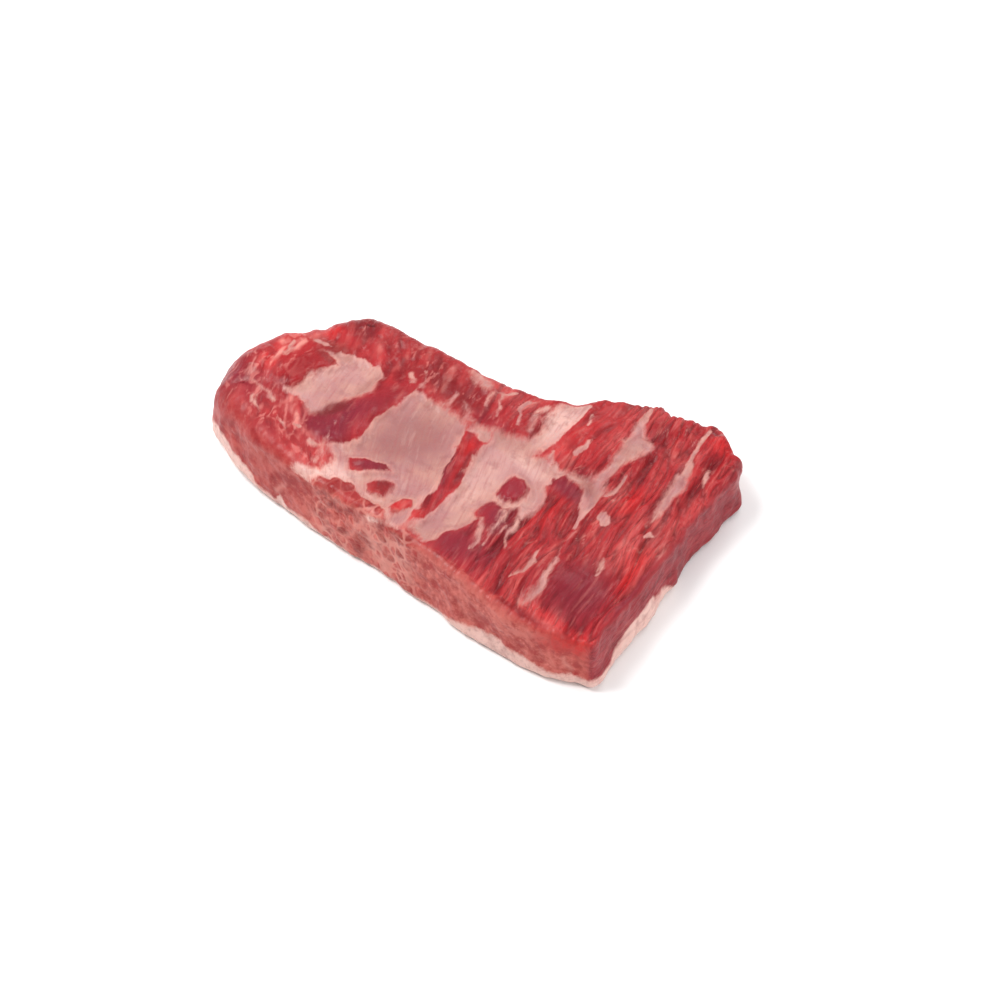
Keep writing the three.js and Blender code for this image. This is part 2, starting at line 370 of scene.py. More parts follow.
def from_segment(start: Point, end: Point, x: Array, y: Array) -> tuple[Array, Array]:
    """Measure how far points are from a straight segment.

    Args:
        start: Start of the segment.
        end: End of the segment.
        x: First coordinates of the points.
        y: Second coordinates of the points.

    Returns:
        The distances, and the share of the segment's length where each point is nearest to it.
    """
    (ax, ay), (bx, by) = start, end
    ex, ey = bx - ax, by - ay
    t = np.clip(((x - ax) * ex + (y - ay) * ey) / (ex * ex + ey * ey), 0, 1)
    return np.hypot(x - ax - t * ex, y - ay - t * ey), t


def patch_distance(corners: Patch, x: Array, y: Array) -> Array:
    """Measure how deep points lie inside a closed outline, which is negative outside it.

    Args:
        corners: Corner points of the outline.
        x: First coordinates of the points.
        y: Second coordinates of the points.

    Returns:
        Signed distances, in the coordinates' unit.
    """
    nearest = np.full(x.shape, np.inf)
    inside = np.zeros(x.shape, bool)
    for (ax, ay), (bx, by) in zip(corners, (*corners[1:], corners[0])):
        nearest = np.minimum(nearest, from_segment((ax, ay), (bx, by), x, y)[0])
        if ay != by:
            crosses = (ay > y) != (by > y)
            inside ^= crosses & (x < ax + (y - ay) * (bx - ax) / (by - ay))
    return np.where(inside, nearest, -nearest)


def seam_distance(seam: Seam, x: Array, y: Array) -> Array:
    """Measure how deep points lie inside a run of changing width.

    Args:
        seam: Points of the run as (first, second, half width).
        x: First coordinates of the points.
        y: Second coordinates of the points.

    Returns:
        Signed distances, negative outside the run.
    """
    depth = np.full(x.shape, -np.inf)
    for (*start, start_width), (*end, end_width) in zip(seam, seam[1:]):
        off, t = from_segment(start, end, x, y)
        depth = np.maximum(depth, start_width + (end_width - start_width) * t - off)
    return depth


def deepest(seams: Sequence[Seam], x: Array, y: Array) -> Array:
    """Measure how deep points lie inside the seam that is deepest there."""
    return np.max([seam_distance(seam, x, y) for seam in seams], axis=0)


@dataclass(frozen=True)
class Tint:
    """A soft patch where the lean changes its tone, seen from above.

    Attributes:
        x: Middle, in plan mm.
        y: Middle, in plan mm.
        along_x: Half length along X before it is turned.
        along_y: Half length along Y before it is turned.
        strength: Strength in the middle.
        turn: Turn in degrees, anticlockwise.
    """

    x: float
    y: float
    along_x: float
    along_y: float
    strength: float = 1.0
    turn: float = 0.0

    def at(self, x: Array, y: Array) -> Array:
        """Strength of the tint at plan points."""
        c, s = np.cos(np.radians(self.turn)), np.sin(np.radians(self.turn))
        u = ((x - self.x) * c + (y - self.y) * s) / self.along_x
        v = (-(x - self.x) * s + (y - self.y) * c) / self.along_y
        return self.strength * np.exp(-((u * u + v * v) ** 1.5))


def tinted(tints: Sequence[Tint], x: Array, y: Array) -> Array:
    """Add tints up and hold them to 0 and 1."""
    return np.clip(sum(tint.at(x, y) for tint in tints), 0, 1)


@dataclass(frozen=True)
class FatMap:
    """Where fat lies on the slab, in plan mm on the top and in (along, height) mm on the walls."""

    windows: tuple[Patch, ...] = (
        ((-184, 27), (-175, 35), (-166, 40), (-156, 43), (-145, 45), (-136, 44), (-130, 40), (-131, 34),
         (-129, 27), (-127, 20), (-129, 14), (-134, 9), (-137, 2), (-138, -5), (-138, -13), (-140, -21),
         (-146, -29), (-152, -26), (-160, -22), (-167, -20), (-174, -21), (-172, -10), (-171, 0), (-170, 10),
         (-170, 18), (-168, 23), (-172, 26)),
        ((-102, 43), (-88, 44), (-75, 47), (-60, 46), (-50, 42), (-45, 36), (-42, 28), (-40, 20), (-37, 12),
         (-32, 3), (-29, -8), (-25, -18), (-23, -28), (-22, -40), (-20, -50), (-16, -62), (-17, -71),
         (-28, -73), (-34, -66), (-44, -63), (-56, -65), (-66, -62), (-74, -60), (-84, -64), (-98, -71),
         (-112, -74), (-120, -73), (-108, -68), (-99, -61), (-97, -54), (-103, -48), (-112, -43), (-113, -39),
         (-102, -33), (-100, -22), (-103, -8), (-104, 8), (-101, 20), (-104, 32)),
        ((-34, 52), (-28, 42), (-26, 33), (-25, 20), (-21, 6), (-16, -8), (-12, -22), (-11, -40), (-12, -52),
         (-11, -63), (4, -66), (9, -60), (9, -47), (15, -40), (21, -31), (20, -23), (13, -22), (14, -2),
         (28, -2), (31, 4), (36, -2), (42, 0), (43, 10), (42, 20), (38, 30), (32, 37), (31, 46), (38, 54),
         (50, 56), (60, 50), (67, 40), (70, 44), (66, 56), (58, 66), (46, 62), (30, 56), (15, 54), (8, 52),
         (7, 64), (10, 78), (9, 100), (8, 118), (4, 128), (-6, 112), (-14, 104), (-12, 92), (-6, 80),
         (-4, 68), (-10, 60), (-22, 56)),
        ((-46, 44), (-40, 49), (-30, 50), (-22, 46), (-24, 36), (-32, 33), (-38, 37), (-44, 37)),
    )
    islands: tuple[Patch, ...] = (
        ((-91, -42), (-83, -37), (-74, -34), (-64, -30), (-58, -32), (-66, -39), (-75, -46), (-84, -51)),
        ((-60, -45), (-54, -40), (-48, -40), (-45, -47), (-44, -55), (-50, -58), (-58, -58), (-63, -53)),
        ((-33, -46), (-27, -43), (-23, -48), (-24, -58), (-28, -64), (-34, -60), (-34, -52)),
        ((10, 27), (18, 28), (25, 25), (29, 17), (28, 8), (20, 3), (11, 4), (9, 14)),
    )
    seams: tuple[Seam, ...] = (
        ((41, 154, 1.2), (46, 136, 2.2), (50, 124, 5), (57, 114, 10), (58, 100, 8.5), (58, 86, 4),
         (56, 70, 5), (62, 56, 5.5), (67, 38, 3.4), (73, 20, 1.2)),
        ((78, 0, 0.5), (84, -17, 1.8), (89, -32, 2.4), (92, -46, 3.2), (89, -60, 2.4)),
        ((70, -20, 0.5), (75, -27, 1.3), (74, -40, 1.3), (70, -50, 0.6)),
        ((86, 168, 1.4), (87, 152, 2.4), (94, 132, 2.8), (99, 117, 3.4), (102, 104, 5.5), (103, 95, 5.2),
         (105, 84, 3.4), (109, 70, 1.6), (110, 58, 0.6)),
        ((106, 140, 0.5), (112, 127, 1.1), (116, 116, 0.5)),
        ((80, 41, 4.0), (86, 40, 4.0)),
        ((113, 49, 0.8), (116, 53, 1.3), (120, 55, 0.8)),
        ((106, 11, 0.4), (109, 3, 1.2), (111, -6, 0.4)),
        ((70, 80, 0.8), (73, 68, 1.6), (70, 58, 1)),
        ((27, 96, 0.6), (30, 84, 1.0), (28, 74, 0.5)),
        ((14, 116, 1.0), (17, 106, 0.6)),
        ((28, -4, 1.6), (31, -16, 1.2), (34, -28, 0.8), (38, -42, 0.3)),
        ((38, -2, 2.4), (42, -14, 1.8), (47, -26, 1.2), (52, -38, 0.4)),
        ((20, -22, 1.4), (27, -30, 1.2), (32, -40, 0.8), (35, -50, 0.3)),
        ((30, -8, 0.9), (38, -18, 1.0), (40, -26, 0.6)),
        ((-46, 93, 0.7), (-50, 86, 1.1), (-48, 77, 1.0), (-41, 70, 0.7), (-38, 64, 0.4)),
        ((-28, 97, 0.6), (-33, 89, 1.1), (-31, 80, 1.0), (-24, 73, 0.7), (-22, 66, 0.4)),
        ((-56, 80, 0.5), (-57, 73, 0.9), (-52, 66, 0.6)),
        ((-18, 98, 1.2), (-20, 88, 1.2), (-15, 77, 0.8), (-12, 68, 0.5)),
        ((-66, 60, 0.5), (-58, 52, 1.2), (-50, 48, 1.6)),
        ((-110, 62, 0.4), (-104, 54, 1.0), (-101, 46, 1.2)),
        ((-216, -20, 1.0), (-212, -27, 2.2), (-207, -33, 0.8)),
        ((-208, 21, 0.5), (-206, 12, 1.3), (-202, 3, 0.5)),
        ((-178, -22, 1.0), (-169, -20, 1.6)),
        ((-190, -42, 0.6), (-184, -46, 1.8), (-176, -51, 0.8)),
        ((-160, -47, 0.5), (-154, -50, 1.8), (-148, -53, 0.6)),
        ((-123, -48, 1.8), (-116, -47, 1.8)),
        ((-218, -42, 0.4), (-210, -43, 1.1), (-204, -46, 0.4)),
        ((-148, -44, 0.8), (-141, -44, 1.4)),
        ((-202, -30, 0.4), (-190, -34, 0.9), (-176, -36, 0.4)),
        ((-201, 29, 1.0), (-193, 32, 2.0), (-185, 34, 1.0)),
        ((-82, 90, 4), (-72, 86, 5), (-64, 82, 2)),
        ((-60, 58, 0.5), (-56, 50, 1.4), (-52, 42, 1.6)),
        ((-78, 60, 0.4), (-76, 52, 1.2), (-76, 44, 1.4)),
        ((14, 64, 0.4), (18, 58, 1.2), (24, 54, 1.4)),
        ((-118, 54, 1.5), (-108, 47, 2)),
        ((-122, -24, 0.4), (-108, -60, 0.4)),
    )
    near_seams: tuple[Seam, ...] = (
        ((-124, 60, 1), (-112, 57, 3.5), (-100, 57, 5), (-90, 60, 2)),
        ((-48, 61, 2), (-40, 57, 4), (-32, 59, 3), (-18, 62, 2)),
    )
    near_gaps: tuple[Seam, ...] = (
        ((-42, 55, 3), (-50, 42, 1.6), (-57, 28, 1.6), (-70, 16, 0.8)),
        ((130, 26, 0.8), (136, 16, 1.4)),
        ((-138, 18, 2.0), (-130, 28, 1.2)),
    )
    far_seams: tuple[Seam, ...] = (
        ((-156, 38, 0.4), (-128, 35, 1.4), (-96, 37, 1.8), (-62, 33, 1.2), (-30, 35, 0.4)),
        ((-8, 30, 0.4), (12, 34, 1.6), (36, 31, 2.0), (58, 33, 0.8)),
        ((-110, 24, 0.4), (-84, 22, 1.0), (-60, 24, 0.4)),
    )
    near_foot: Stations = (
        (-226, 28), (-205, 27), (-190, 24), (-172, 20), (-160, 12), (-140, 7), (-134, 16), (-126, 8),
        (-105, 11), (-89, 6), (-20, 4), (20, 5), (40, 10), (58, 14), (74, 17), (91, 15), (110, 12), (147, 11),
    )
    cut_foot: Stations = (
        (-55, 12), (-30, 12), (-16, 15), (0, 21), (20, 22), (30, 15), (42, 12), (56, 4), (70, -4), (160, -4),
    )
    hidden_foot: float = 13.0
    dull: tuple[Tint, ...] = (
        Tint(-72, 8, 30, 32), Tint(-5, -52, 12, 12, 0.3), Tint(-152, 4, 14, 22, 0.3),
        Tint(-22, 50, 16, 8, 0.5), Tint(62, 48, 8, 12, 0.4), Tint(54, 102, 9, 14, 0.6),
        Tint(-84, -20, 20, 16, 0.4), Tint(-172, 34, 14, 8, 0.5),
    )
    hazy: tuple[Tint, ...] = (
        Tint(-131, 14, 9, 24), Tint(-60, 45, 34, 8, 0.8), Tint(-14, 52, 30, 9), Tint(-8, 88, 12, 30, 0.9),
        Tint(20, 14, 13, 15, 0.35), Tint(19, -11, 11, 12, 0.35), Tint(-200, -20, 40, 50, 0.3),
        Tint(38, 10, 12, 26, 0.4), Tint(26, -30, 16, 14, 0.3), Tint(50, 58, 22, 8, 0.8),
        Tint(56, 74, 10, 22, 0.6), Tint(58, 112, 14, 22, 0.7), Tint(88, -54, 12, 14, 0.9),
        Tint(-110, -56, 20, 16, 0.5), Tint(-138, -24, 12, 10, 0.8), Tint(-72, 86, 22, 12),
        Tint(102, 92, 10, 30, 0.7), Tint(-50, -46, 14, 12, 0.3), Tint(-82, 60, 40, 12, 0.4),
        Tint(-2, -62, 14, 7, 0.8), Tint(-24, -70, 12, 6, 0.6),
    )
    fresh: tuple[Tint, ...] = (
        Tint(0, 96, 18, 30, 0.6), Tint(-98, -62, 26, 12, 0.75), Tint(-8, 10, 16, 34, 0.3),
        Tint(-158, 8, 24, 36, 0.3), Tint(34, -6, 12, 20, 0.3), Tint(16, 43, 20, 8, 0.4),
    )
    smudges: tuple[Tint, ...] = (
        Tint(-136, -12, 7, 12, 1.7, -15), Tint(-143, -24, 5, 4, 0.4), Tint(-137, 24, 4, 14, 0.4),
        Tint(54, 58, 12, 5, 0.5, -30), Tint(-181, 29, 10, 3, 0.3, 30), Tint(-16, 70, 6, 10, 0.3),
    )
    wander: tuple[tuple[Lumps, ...], tuple[Lumps, ...]] = (
        (Lumps(11, 1.0, 11), Lumps(4.5, 0.6, 12)),
        (Lumps(11, 1.0, 13), Lumps(4.5, 0.6, 14)),
    )
    wander_reach: float = 1.6
    island_reach: float = 0.5
    seam_tear: float = 0.8
    island_tear: float = 0.25

    def top(self, x: Array, y: Array, tear: Array) -> tuple[Array, Array]:
        """Measure the depth inside the fat on the top.

        Args:
            x: Plan X of the points.
            y: Plan Y of the points.
            tear: How far the strands move the borders, in mm, outwards where it is positive.

        Returns:
            The depth inside any fat, and the depth inside a window alone.
        """
        wander_x, wander_y = (piled(layers, x, y) for layers in self.wander)
        px, py = x + self.wander_reach * wander_x, y + self.wander_reach * wander_y
        window = np.max([patch_distance(patch, px, py) for patch in self.windows], axis=0) + tear
        seam = deepest(self.seams, px, py) + self.seam_tear * tear
        px, py = x + self.island_reach * wander_x, y + self.island_reach * wander_y
        island = np.max([patch_distance(patch, px, py) for patch in self.islands], axis=0)
        window = np.minimum(window, self.island_tear * tear - island)
        return np.maximum(window, seam), window

    def near_wall(self, x: Array, z: Array) -> Array:
        """Measure the depth inside the fat on the cut near side."""
        return np.maximum(deepest(self.near_seams, x, z), along_stations(self.near_foot, x) - z)

    def cut_wall(self, y: Array, z: Array) -> Array:
        """Measure the depth inside the fat cap on the cut end."""
        return along_stations(self.cut_foot, y) - z


@dataclass(frozen=True)
class FlowMark:
    """The way the fibres run near one place: plan mm, and degrees anticlockwise from +X."""

    x: float
    y: float
    way: float
    reach: float = 26.0


class Comb(Enum):
    """Noises combed along the fibres: width of the strands, number that picks the noise, and reach in mm."""

    BROAD = (14.0, 71, 46)
    COARSE = (6.0, 51, 32)
    FINE = (2.8, 53, 20)
    SHORT = (3.4, 57, 9)
    TONE = (7.0, 59, 38)
    VEINS = (4.4, 67, 14)


@dataclass(frozen=True)
class Grain:
    """How the muscle fibres run over the slab, seen from above, and noise combed along them."""

    marks: tuple[FlowMark, ...] = (
        FlowMark(-222, 20, 98), FlowMark(-205, 30, 80), FlowMark(-212, -14, 108), FlowMark(-222, -40, 128),
        FlowMark(-190, -34, 140), FlowMark(-160, -48, 146), FlowMark(-120, -58, 150), FlowMark(-182, 8, 92),
        FlowMark(-196, 62, 120), FlowMark(-160, 72, 136), FlowMark(-120, 66, 130), FlowMark(-84, 66, 118),
        FlowMark(-56, 80, 104), FlowMark(-32, 84, 92), FlowMark(-8, 86, 98), FlowMark(-150, 10, 122),
        FlowMark(-118, -10, 86, 18), FlowMark(-115, 30, 100, 18), FlowMark(-75, 10, 124),
        FlowMark(-60, -36, 130), FlowMark(-32, 2, 108, 14), FlowMark(-17, -40, 98, 14),
        FlowMark(-5, 30, 132), FlowMark(0, -10, 118),
        FlowMark(20, -55, 90), FlowMark(34, -14, 96), FlowMark(26, 20, 104), FlowMark(40, 60, 92),
        FlowMark(35, 110, 93), FlowMark(40, 150, 96), FlowMark(68, 150, 98), FlowMark(70, 100, 98),
        FlowMark(66, 40, 102), FlowMark(66, -10, 110), FlowMark(68, -50, 104), FlowMark(96, 110, 104),
        FlowMark(96, 40, 100), FlowMark(100, -10, 106), FlowMark(100, -50, 100), FlowMark(120, 130, 106),
        FlowMark(124, 60, 99), FlowMark(130, 0, 97), FlowMark(134, -50, 97),
    )
    wander: tuple[Lumps, ...] = (Lumps(28, 10, 61), Lumps(12, 4, 62))
    low: Point = (-264.0, -96.0)
    counts: tuple[int, int] = (434, 292)
    inside: float = 1.001
    least_weight: float = 1e-9
    fine_tear: float = 0.7
    coarse_tear: float = 0.5

    @cached_property
    def plan(self) -> tuple[Array, Array]:
        """Places of the grid."""
        across, along = (low + np.arange(count) for low, count in zip(self.low, self.counts))
        return np.meshgrid(across, along, indexing="ij")

    def read(self, grid: Array, x: Array, y: Array) -> Array:
        """Read a grid at plan points, between its places.

        Args:
            grid: Values at the places of the grid.
            x: Plan X of the points.
            y: Plan Y of the points.

        Returns:
            Values at the points.
        """
        px = np.clip(x - self.low[0], 0, self.counts[0] - self.inside)
        py = np.clip(y - self.low[1], 0, self.counts[1] - self.inside)
        i, j = px.astype(int), py.astype(int)
        u, v = px - i, py - j
        return (grid[i, j] * (1 - u) * (1 - v) + grid[i + 1, j] * u * (1 - v)
                + grid[i, j + 1] * (1 - u) * v + grid[i + 1, j + 1] * u * v)

    @cached_property
    def ways(self) -> tuple[Array, Array]:
        """Unit vectors along the fibres, at each place of the grid."""
        x, y = self.plan
        total, weight = np.zeros_like(x), np.full_like(x, self.least_weight)
        for mark in self.marks:
            near = np.exp(-((x - mark.x) ** 2 + (y - mark.y) ** 2) / (2 * mark.reach ** 2))
            total += near * mark.way
            weight += near
        way = np.radians(total / weight + piled(self.wander, x, y))
        return np.cos(way), np.sin(way)

    def potential(self, slope_x: Array, slope_y: Array) -> Array:
        """Find the surface whose slopes come nearest to the given ones.

        Args:
            slope_x: Wanted slope along X, on the grid.
            slope_y: Wanted slope along Y, on the grid.

        Returns:
            The surface's values on the grid.
        """
        inner_x = 0.5 * (slope_x[1:] + slope_x[:-1])
        inner_y = 0.5 * (slope_y[:, 1:] + slope_y[:, :-1])
        spread = np.diff(np.pad(inner_x, ((1, 1), (0, 0))), axis=0)
        spread = spread + np.diff(np.pad(inner_y, ((0, 0), (1, 1))), axis=1)
        mirrored = np.block([[spread, spread[:, ::-1]], [spread[::-1], spread[::-1, ::-1]]])
        bends = [2 * np.cos(2 * np.pi * np.arange(n) / n) - 2 for n in mirrored.shape]
        total = bends[0][:, None] + bends[1][None, :]
        total[0, 0] = 1.0
        waves = np.fft.fft2(mirrored) / total
        waves[0, 0] = 0.0
        return np.fft.ifft2(waves).real[:spread.shape[0], :spread.shape[1]]

    @cached_property
    def coordinates(self) -> tuple[Array, Array]:
        """Coordinates across and along the fibres, in mm."""
        c, s = self.ways
        return self.potential(s, -c), self.potential(c, s)

    def comb(self, width: float, seed: int, reach: int) -> Array:
        """Smear noise along the fibres.

        Args:
            width: Width of the strands that come out, in mm.
            seed: Number that picks the noise.
            reach: Length that each value is smeared over each way, in mm.

        Returns:
            Values on the grid, with a spread of 1.
        """
        x, y = self.plan
        base = Lumps(width, seed=seed).mixed(x, y)
        total, weight = base.copy(), 1.0
        for turn in (1.0, -1.0):
            px, py = x, y
            for step in range(1, reach + 1):
                way_x, way_y = (turn * self.read(way, px, py) for way in self.ways)
                px, py = px + way_x, py + way_y
                share = 0.5 + 0.5 * np.cos(np.pi * step / (reach + 1))
                total += share * self.read(base, px, py)
                weight += share
        combed = total / weight
        return (combed - combed.mean()) / combed.std()

    @cached_property
    def combs(self) -> dict[Comb, Array]:
        """The combed noises on the grid."""
        return {comb: self.comb(*comb.value) for comb in Comb}

    def combed(self, x: Array, y: Array) -> dict[Comb, Array]:
        """Read the combed noises at plan points."""
        return {comb: self.read(grid, x, y) for comb, grid in self.combs.items()}

    def fibre(self, x: Array, y: Array, z: Array) -> Array:
        """Coordinates across, along and over the fibres, in mm."""
        across, along = (self.read(grid, x, y) for grid in self.coordinates)
        return np.stack([across, along, z], -1)

    def tear(self, x: Array, y: Array) -> Array:
        """How far the strands tear the borders of the fat, in mm."""
        fine, coarse = (self.read(self.combs[comb], x, y) for comb in (Comb.FINE, Comb.COARSE))
        return self.fine_tear * fine + self.coarse_tear * coarse


@dataclass(frozen=True)
class LeanTones:
    """Where the lean changes, in plan mm."""

    bright: tuple[Tint, ...] = (
        Tint(120, -56, 28, 5, 1.1, 8), Tint(131, -6, 4, 38, 1.0, 8), Tint(120, 28, 9, 13, 0.4),
        Tint(87, 66, 8, 16, 0.7, 6), Tint(102, 158, 11, 8, 0.8), Tint(-212, 4, 20, 36, 0.5),
        Tint(-178, 6, 8, 16, 0.4), Tint(130, 104, 8, 18, 0.3), Tint(-34, 21, 7, 9, 0.8),
        Tint(-14, -52, 6, 10, 0.6), Tint(-29, -54, 7, 8, 0.45), Tint(-86, -46, 6, 4, 0.5),
        Tint(-196, 52, 9, 7, 0.9), Tint(52, 16, 11, 22, 0.45, 10), Tint(18, 88, 10, 26, 0.35),
    )
    purple: tuple[Tint, ...] = (
        Tint(-122, -14, 18, 26), Tint(-114, 22, 12, 24, 0.35), Tint(-130, -32, 20, 11),
        Tint(-205, -28, 14, 9, 0.4, 30), Tint(-158, -62, 12, 6, 0.4), Tint(-224, -6, 8, 16, 0.4),
        Tint(-230, -38, 16, 20, 0.7), Tint(-74, -39, 14, 6, 0.9, 25), Tint(-204, -40, 22, 16, 0.5),
        Tint(48, 62, 10, 6, 0.6), Tint(19, 16, 14, 16, 0.8), Tint(19, -9, 10, 12, 0.7),
        Tint(30, -18, 9, 14, 0.7), Tint(28, -52, 26, 18, 0.85), Tint(115, -28, 26, 30, 0.75, 8),
        Tint(-29, -4, 5, 22, 0.7, 25), Tint(45, 45, 16, 8, 0.9, -10), Tint(-40, 55, 18, 8, 0.4),
    )
    dark: tuple[Tint, ...] = (
        Tint(110, -20, 24, 28, 1.3, 8), Tint(-76, -40, 13, 5, 1.0, 25), Tint(-109, 12, 8, 14, 0.5),
        Tint(-105, 31, 9, 10, 0.5), Tint(-188, -40, 12, 8, 0.4), Tint(70, 4, 16, 16, 0.35),
        Tint(-130, -30, 14, 9, 0.6), Tint(-206, -30, 16, 14, 0.35), Tint(76, 72, 6, 28, 0.6, 8),
        Tint(58, 142, 10, 11, 0.6), Tint(-181, 5, 11, 22), Tint(30, 40, 30, 26, 0.25),
        Tint(-188, 64, 16, 10, 0.6), Tint(-85, 62, 30, 9, 0.7), Tint(-122, -34, 18, 6, 0.4),
        Tint(46, 45, 14, 7, 1.0, -15), Tint(20, -54, 15, 12, 0.7), Tint(-30, -4, 5, 18, 0.9, 20),
        Tint(-150, 84, 30, 8, 0.4), Tint(-66, -34, 10, 4, 1.0, 25), Tint(-52, -46, 9, 9, 0.7),
        Tint(70, -40, 14, 22, 0.4), Tint(-226, -30, 14, 22, 0.5), Tint(130, 136, 12, 16, 0.3),
        Tint(-118, -34, 20, 8, 0.6), Tint(-116, 12, 12, 26, 0.4), Tint(-35, 4, 4, 22, 0.8, 20),
        Tint(-68, 74, 9, 10, 0.9), Tint(-176, 70, 10, 9, 0.9), Tint(-24, 84, 5, 10, 0.5),
        Tint(-40, 82, 5, 10, 0.5), Tint(-140, 62, 26, 5, 0.4, -10), Tint(128, 62, 8, 18, 0.4),
        Tint(136, -6, 6, 16, 0.4),
    )
    brown: tuple[Tint, ...] = (
        Tint(-180, 36, 20, 8, 0.9, 10), Tint(-182, 74, 12, 12, 0.8), Tint(-84, 60, 40, 11, 0.7, -4),
        Tint(-120, 80, 60, 8, 0.3), Tint(-68, -33, 8, 3, 0.9, 15), Tint(-51, -48, 9, 9, 0.6),
        Tint(-175, 23, 14, 4, 0.9),
    )
    marbled: tuple[Tint, ...] = (
        Tint(-206, -10, 34, 50), Tint(-165, -44, 66, 24, 1.0, -6), Tint(-110, 66, 90, 22, 0.4, -3),
        Tint(-30, 80, 24, 20, 0.5), Tint(-4, 84, 12, 22, 0.8), Tint(75, 80, 50, 80, 0.35, 8),
        Tint(-100, -60, 24, 10, 0.5),
    )
    pink: tuple[Tint, ...] = (
        Tint(-214, 18, 14, 30, 0.35), Tint(-160, -46, 60, 18, 0.35, -8), Tint(88, 126, 14, 14, 0.35),
        Tint(126, 100, 10, 14, 0.5), Tint(-20, 22, 5, 10, 0.4), Tint(-60, 88, 30, 10, 0.5),
        Tint(34, 128, 20, 34, 0.35), Tint(-150, 78, 40, 10, 0.25), Tint(118, 44, 22, 40, 0.45, 8),
        Tint(118, -60, 34, 5, 1.2),
    )
    calm: tuple[Tint, ...] = (
        Tint(45, 44, 14, 9, 1.2, -15), Tint(24, -54, 18, 12, 0.9), Tint(112, -24, 22, 26, 0.9, 8),
        Tint(-118, -36, 14, 8, 0.9), Tint(28, 112, 13, 34, 0.7), Tint(19, 16, 13, 15, 0.9),
        Tint(20, -12, 10, 12, 0.8), Tint(-120, -14, 17, 30, 0.8), Tint(60, -28, 12, 16, 0.4),
        Tint(40, 80, 12, 14, 0.5), Tint(-112, 24, 12, 22, 0.5), Tint(98, 30, 10, 14, 0.4),
        Tint(-182, 4, 10, 22),
    )
    matted: tuple[Tint, ...] = (
        Tint(-98, 64, 34, 15, 1.0, -4), Tint(-66, 72, 16, 14, 0.8), Tint(-150, 74, 34, 12, 0.6),
        Tint(-10, 74, 12, 22, 0.9), Tint(-30, 58, 24, 6, 0.7), Tint(-114, 40, 10, 12, 0.4),
        Tint(-175, 70, 16, 10, 0.8),
    )
    flaps: tuple[Tint, ...] = (
        Tint(-180, 4, 11, 22), Tint(-120, -16, 17, 28), Tint(-31, 2, 7, 26, 0.6, 25),
        Tint(19, 15, 10, 12, 0.8),
    )
    stranded: tuple[Tint, ...] = (
        Tint(-26, 84, 32, 20), Tint(-118, -6, 16, 34, 0.8), Tint(-28, -6, 9, 60, 0.8, 20),
    )
    stranded_x: Span = (4, 30)
    near_rim: Stations = ((-110, -55), (-24, -58), (-6, -68), (60, -69), (92, -64), (145, -57))
    cut_rim: Stations = (
        (-60, 150), (-47, 146), (-15, 139), (0, 136), (38, 132), (60, 132), (90, 134), (140, 140),
    )

    def long(self, x: Array, y: Array) -> Array:
        """How much the top is made of long strands, rather than of short shreds."""
        return np.maximum(ease(*self.stranded_x, x), tinted(self.stranded, x, y))


@dataclass(frozen=True)
class Roll:
    """A low roll of muscle: middle, half lengths and height, in mm."""

    x: float
    y: float
    along_x: float
    along_y: float
    height: float

    def at(self, x: Array, y: Array) -> Array:
        """Height of the roll at plan points."""
        reach = ((x - self.x) / self.along_x) ** 2 + ((y - self.y) / self.along_y) ** 2
        return self.height * np.exp(-reach)


@dataclass(frozen=True)
class Fold:
    """The furrow in the round end, which fades towards its inner end, in mm."""

    start: Point = (-228, 44)
    end: Point = (-145, 41)
    depth: float = 6
    half_width: float = 7
    fading: float = 1.5

    def at(self, x: Array, y: Array) -> Array:
        """Depth of the furrow at plan points."""
        (x0, y0), (x1, y1) = self.start, self.end
        t = np.clip((x - x0) / (x1 - x0), 0, 1)
        off = (y - y0 - t * (y1 - y0)) / self.half_width
        return self.depth * (1 - t) ** self.fading * np.exp(-off * off)


@dataclass(frozen=True)
class StrandRelief:
    """How high the muscle stands up in strands, shreds and lobes, in mm."""

    strand: float = 1.8
    weak_strand: float = 0.45
    thread: float = 0.45
    weak_thread: float = 0.3
    shred: float = 0.6
    fold: float = 1.2
    fold_limit: float = 1.5
    full: Span = (10, 40)
    strand_ridge: Point = (1.0, 0.7)
    shred_ridge: Point = (1.1, 0.8)
    ridge_middle: float = 0.7
    calm_loss: float = 0.7
    lobes: tuple[Lumps, ...] = (Lumps(14, 1.5, 43), Lumps(6, 0.5, 44))

    def ridged(self, noise: Array, ridge: Point) -> Array:
        """Turn noise into rounded ridges with a furrow where it is 0."""
        limit, bend = ridge
        return np.minimum(np.abs(noise), limit) ** bend - self.ridge_middle

    def at(self, combed: dict[Comb, Array], long: Array, calm: Array, x: Array, y: Array) -> Array:
        """Work out the relief at plan points.

        Args:
            combed: Noises combed along the fibres.
            long: How much the muscle lies in long strands, from 0 to 1.
            calm: How smooth it is, from 0 to 1.
            x: Plan X of the points.
            y: Plan Y of the points.

        Returns:
            Heights over the slab's plain top, in mm.
        """
        full = ease(*self.full, x)
        strands = self.ridged(combed[Comb.COARSE], self.strand_ridge)
        strands = self.strand * raised(self.weak_strand, full) * strands
        threads = self.thread * combed[Comb.FINE] * raised(self.weak_thread, long)
        shreds = self.shred * self.ridged(combed[Comb.SHORT], self.shred_ridge)
        lobes = shreds + sum(lobe.mixed(x, y) for lobe in self.lobes)
        folds = self.fold * np.clip(combed[Comb.BROAD], -self.fold_limit, self.fold_limit) * full
        return (strands * long + threads) * (1 - self.calm_loss * calm) + lobes * (1 - long) + folds


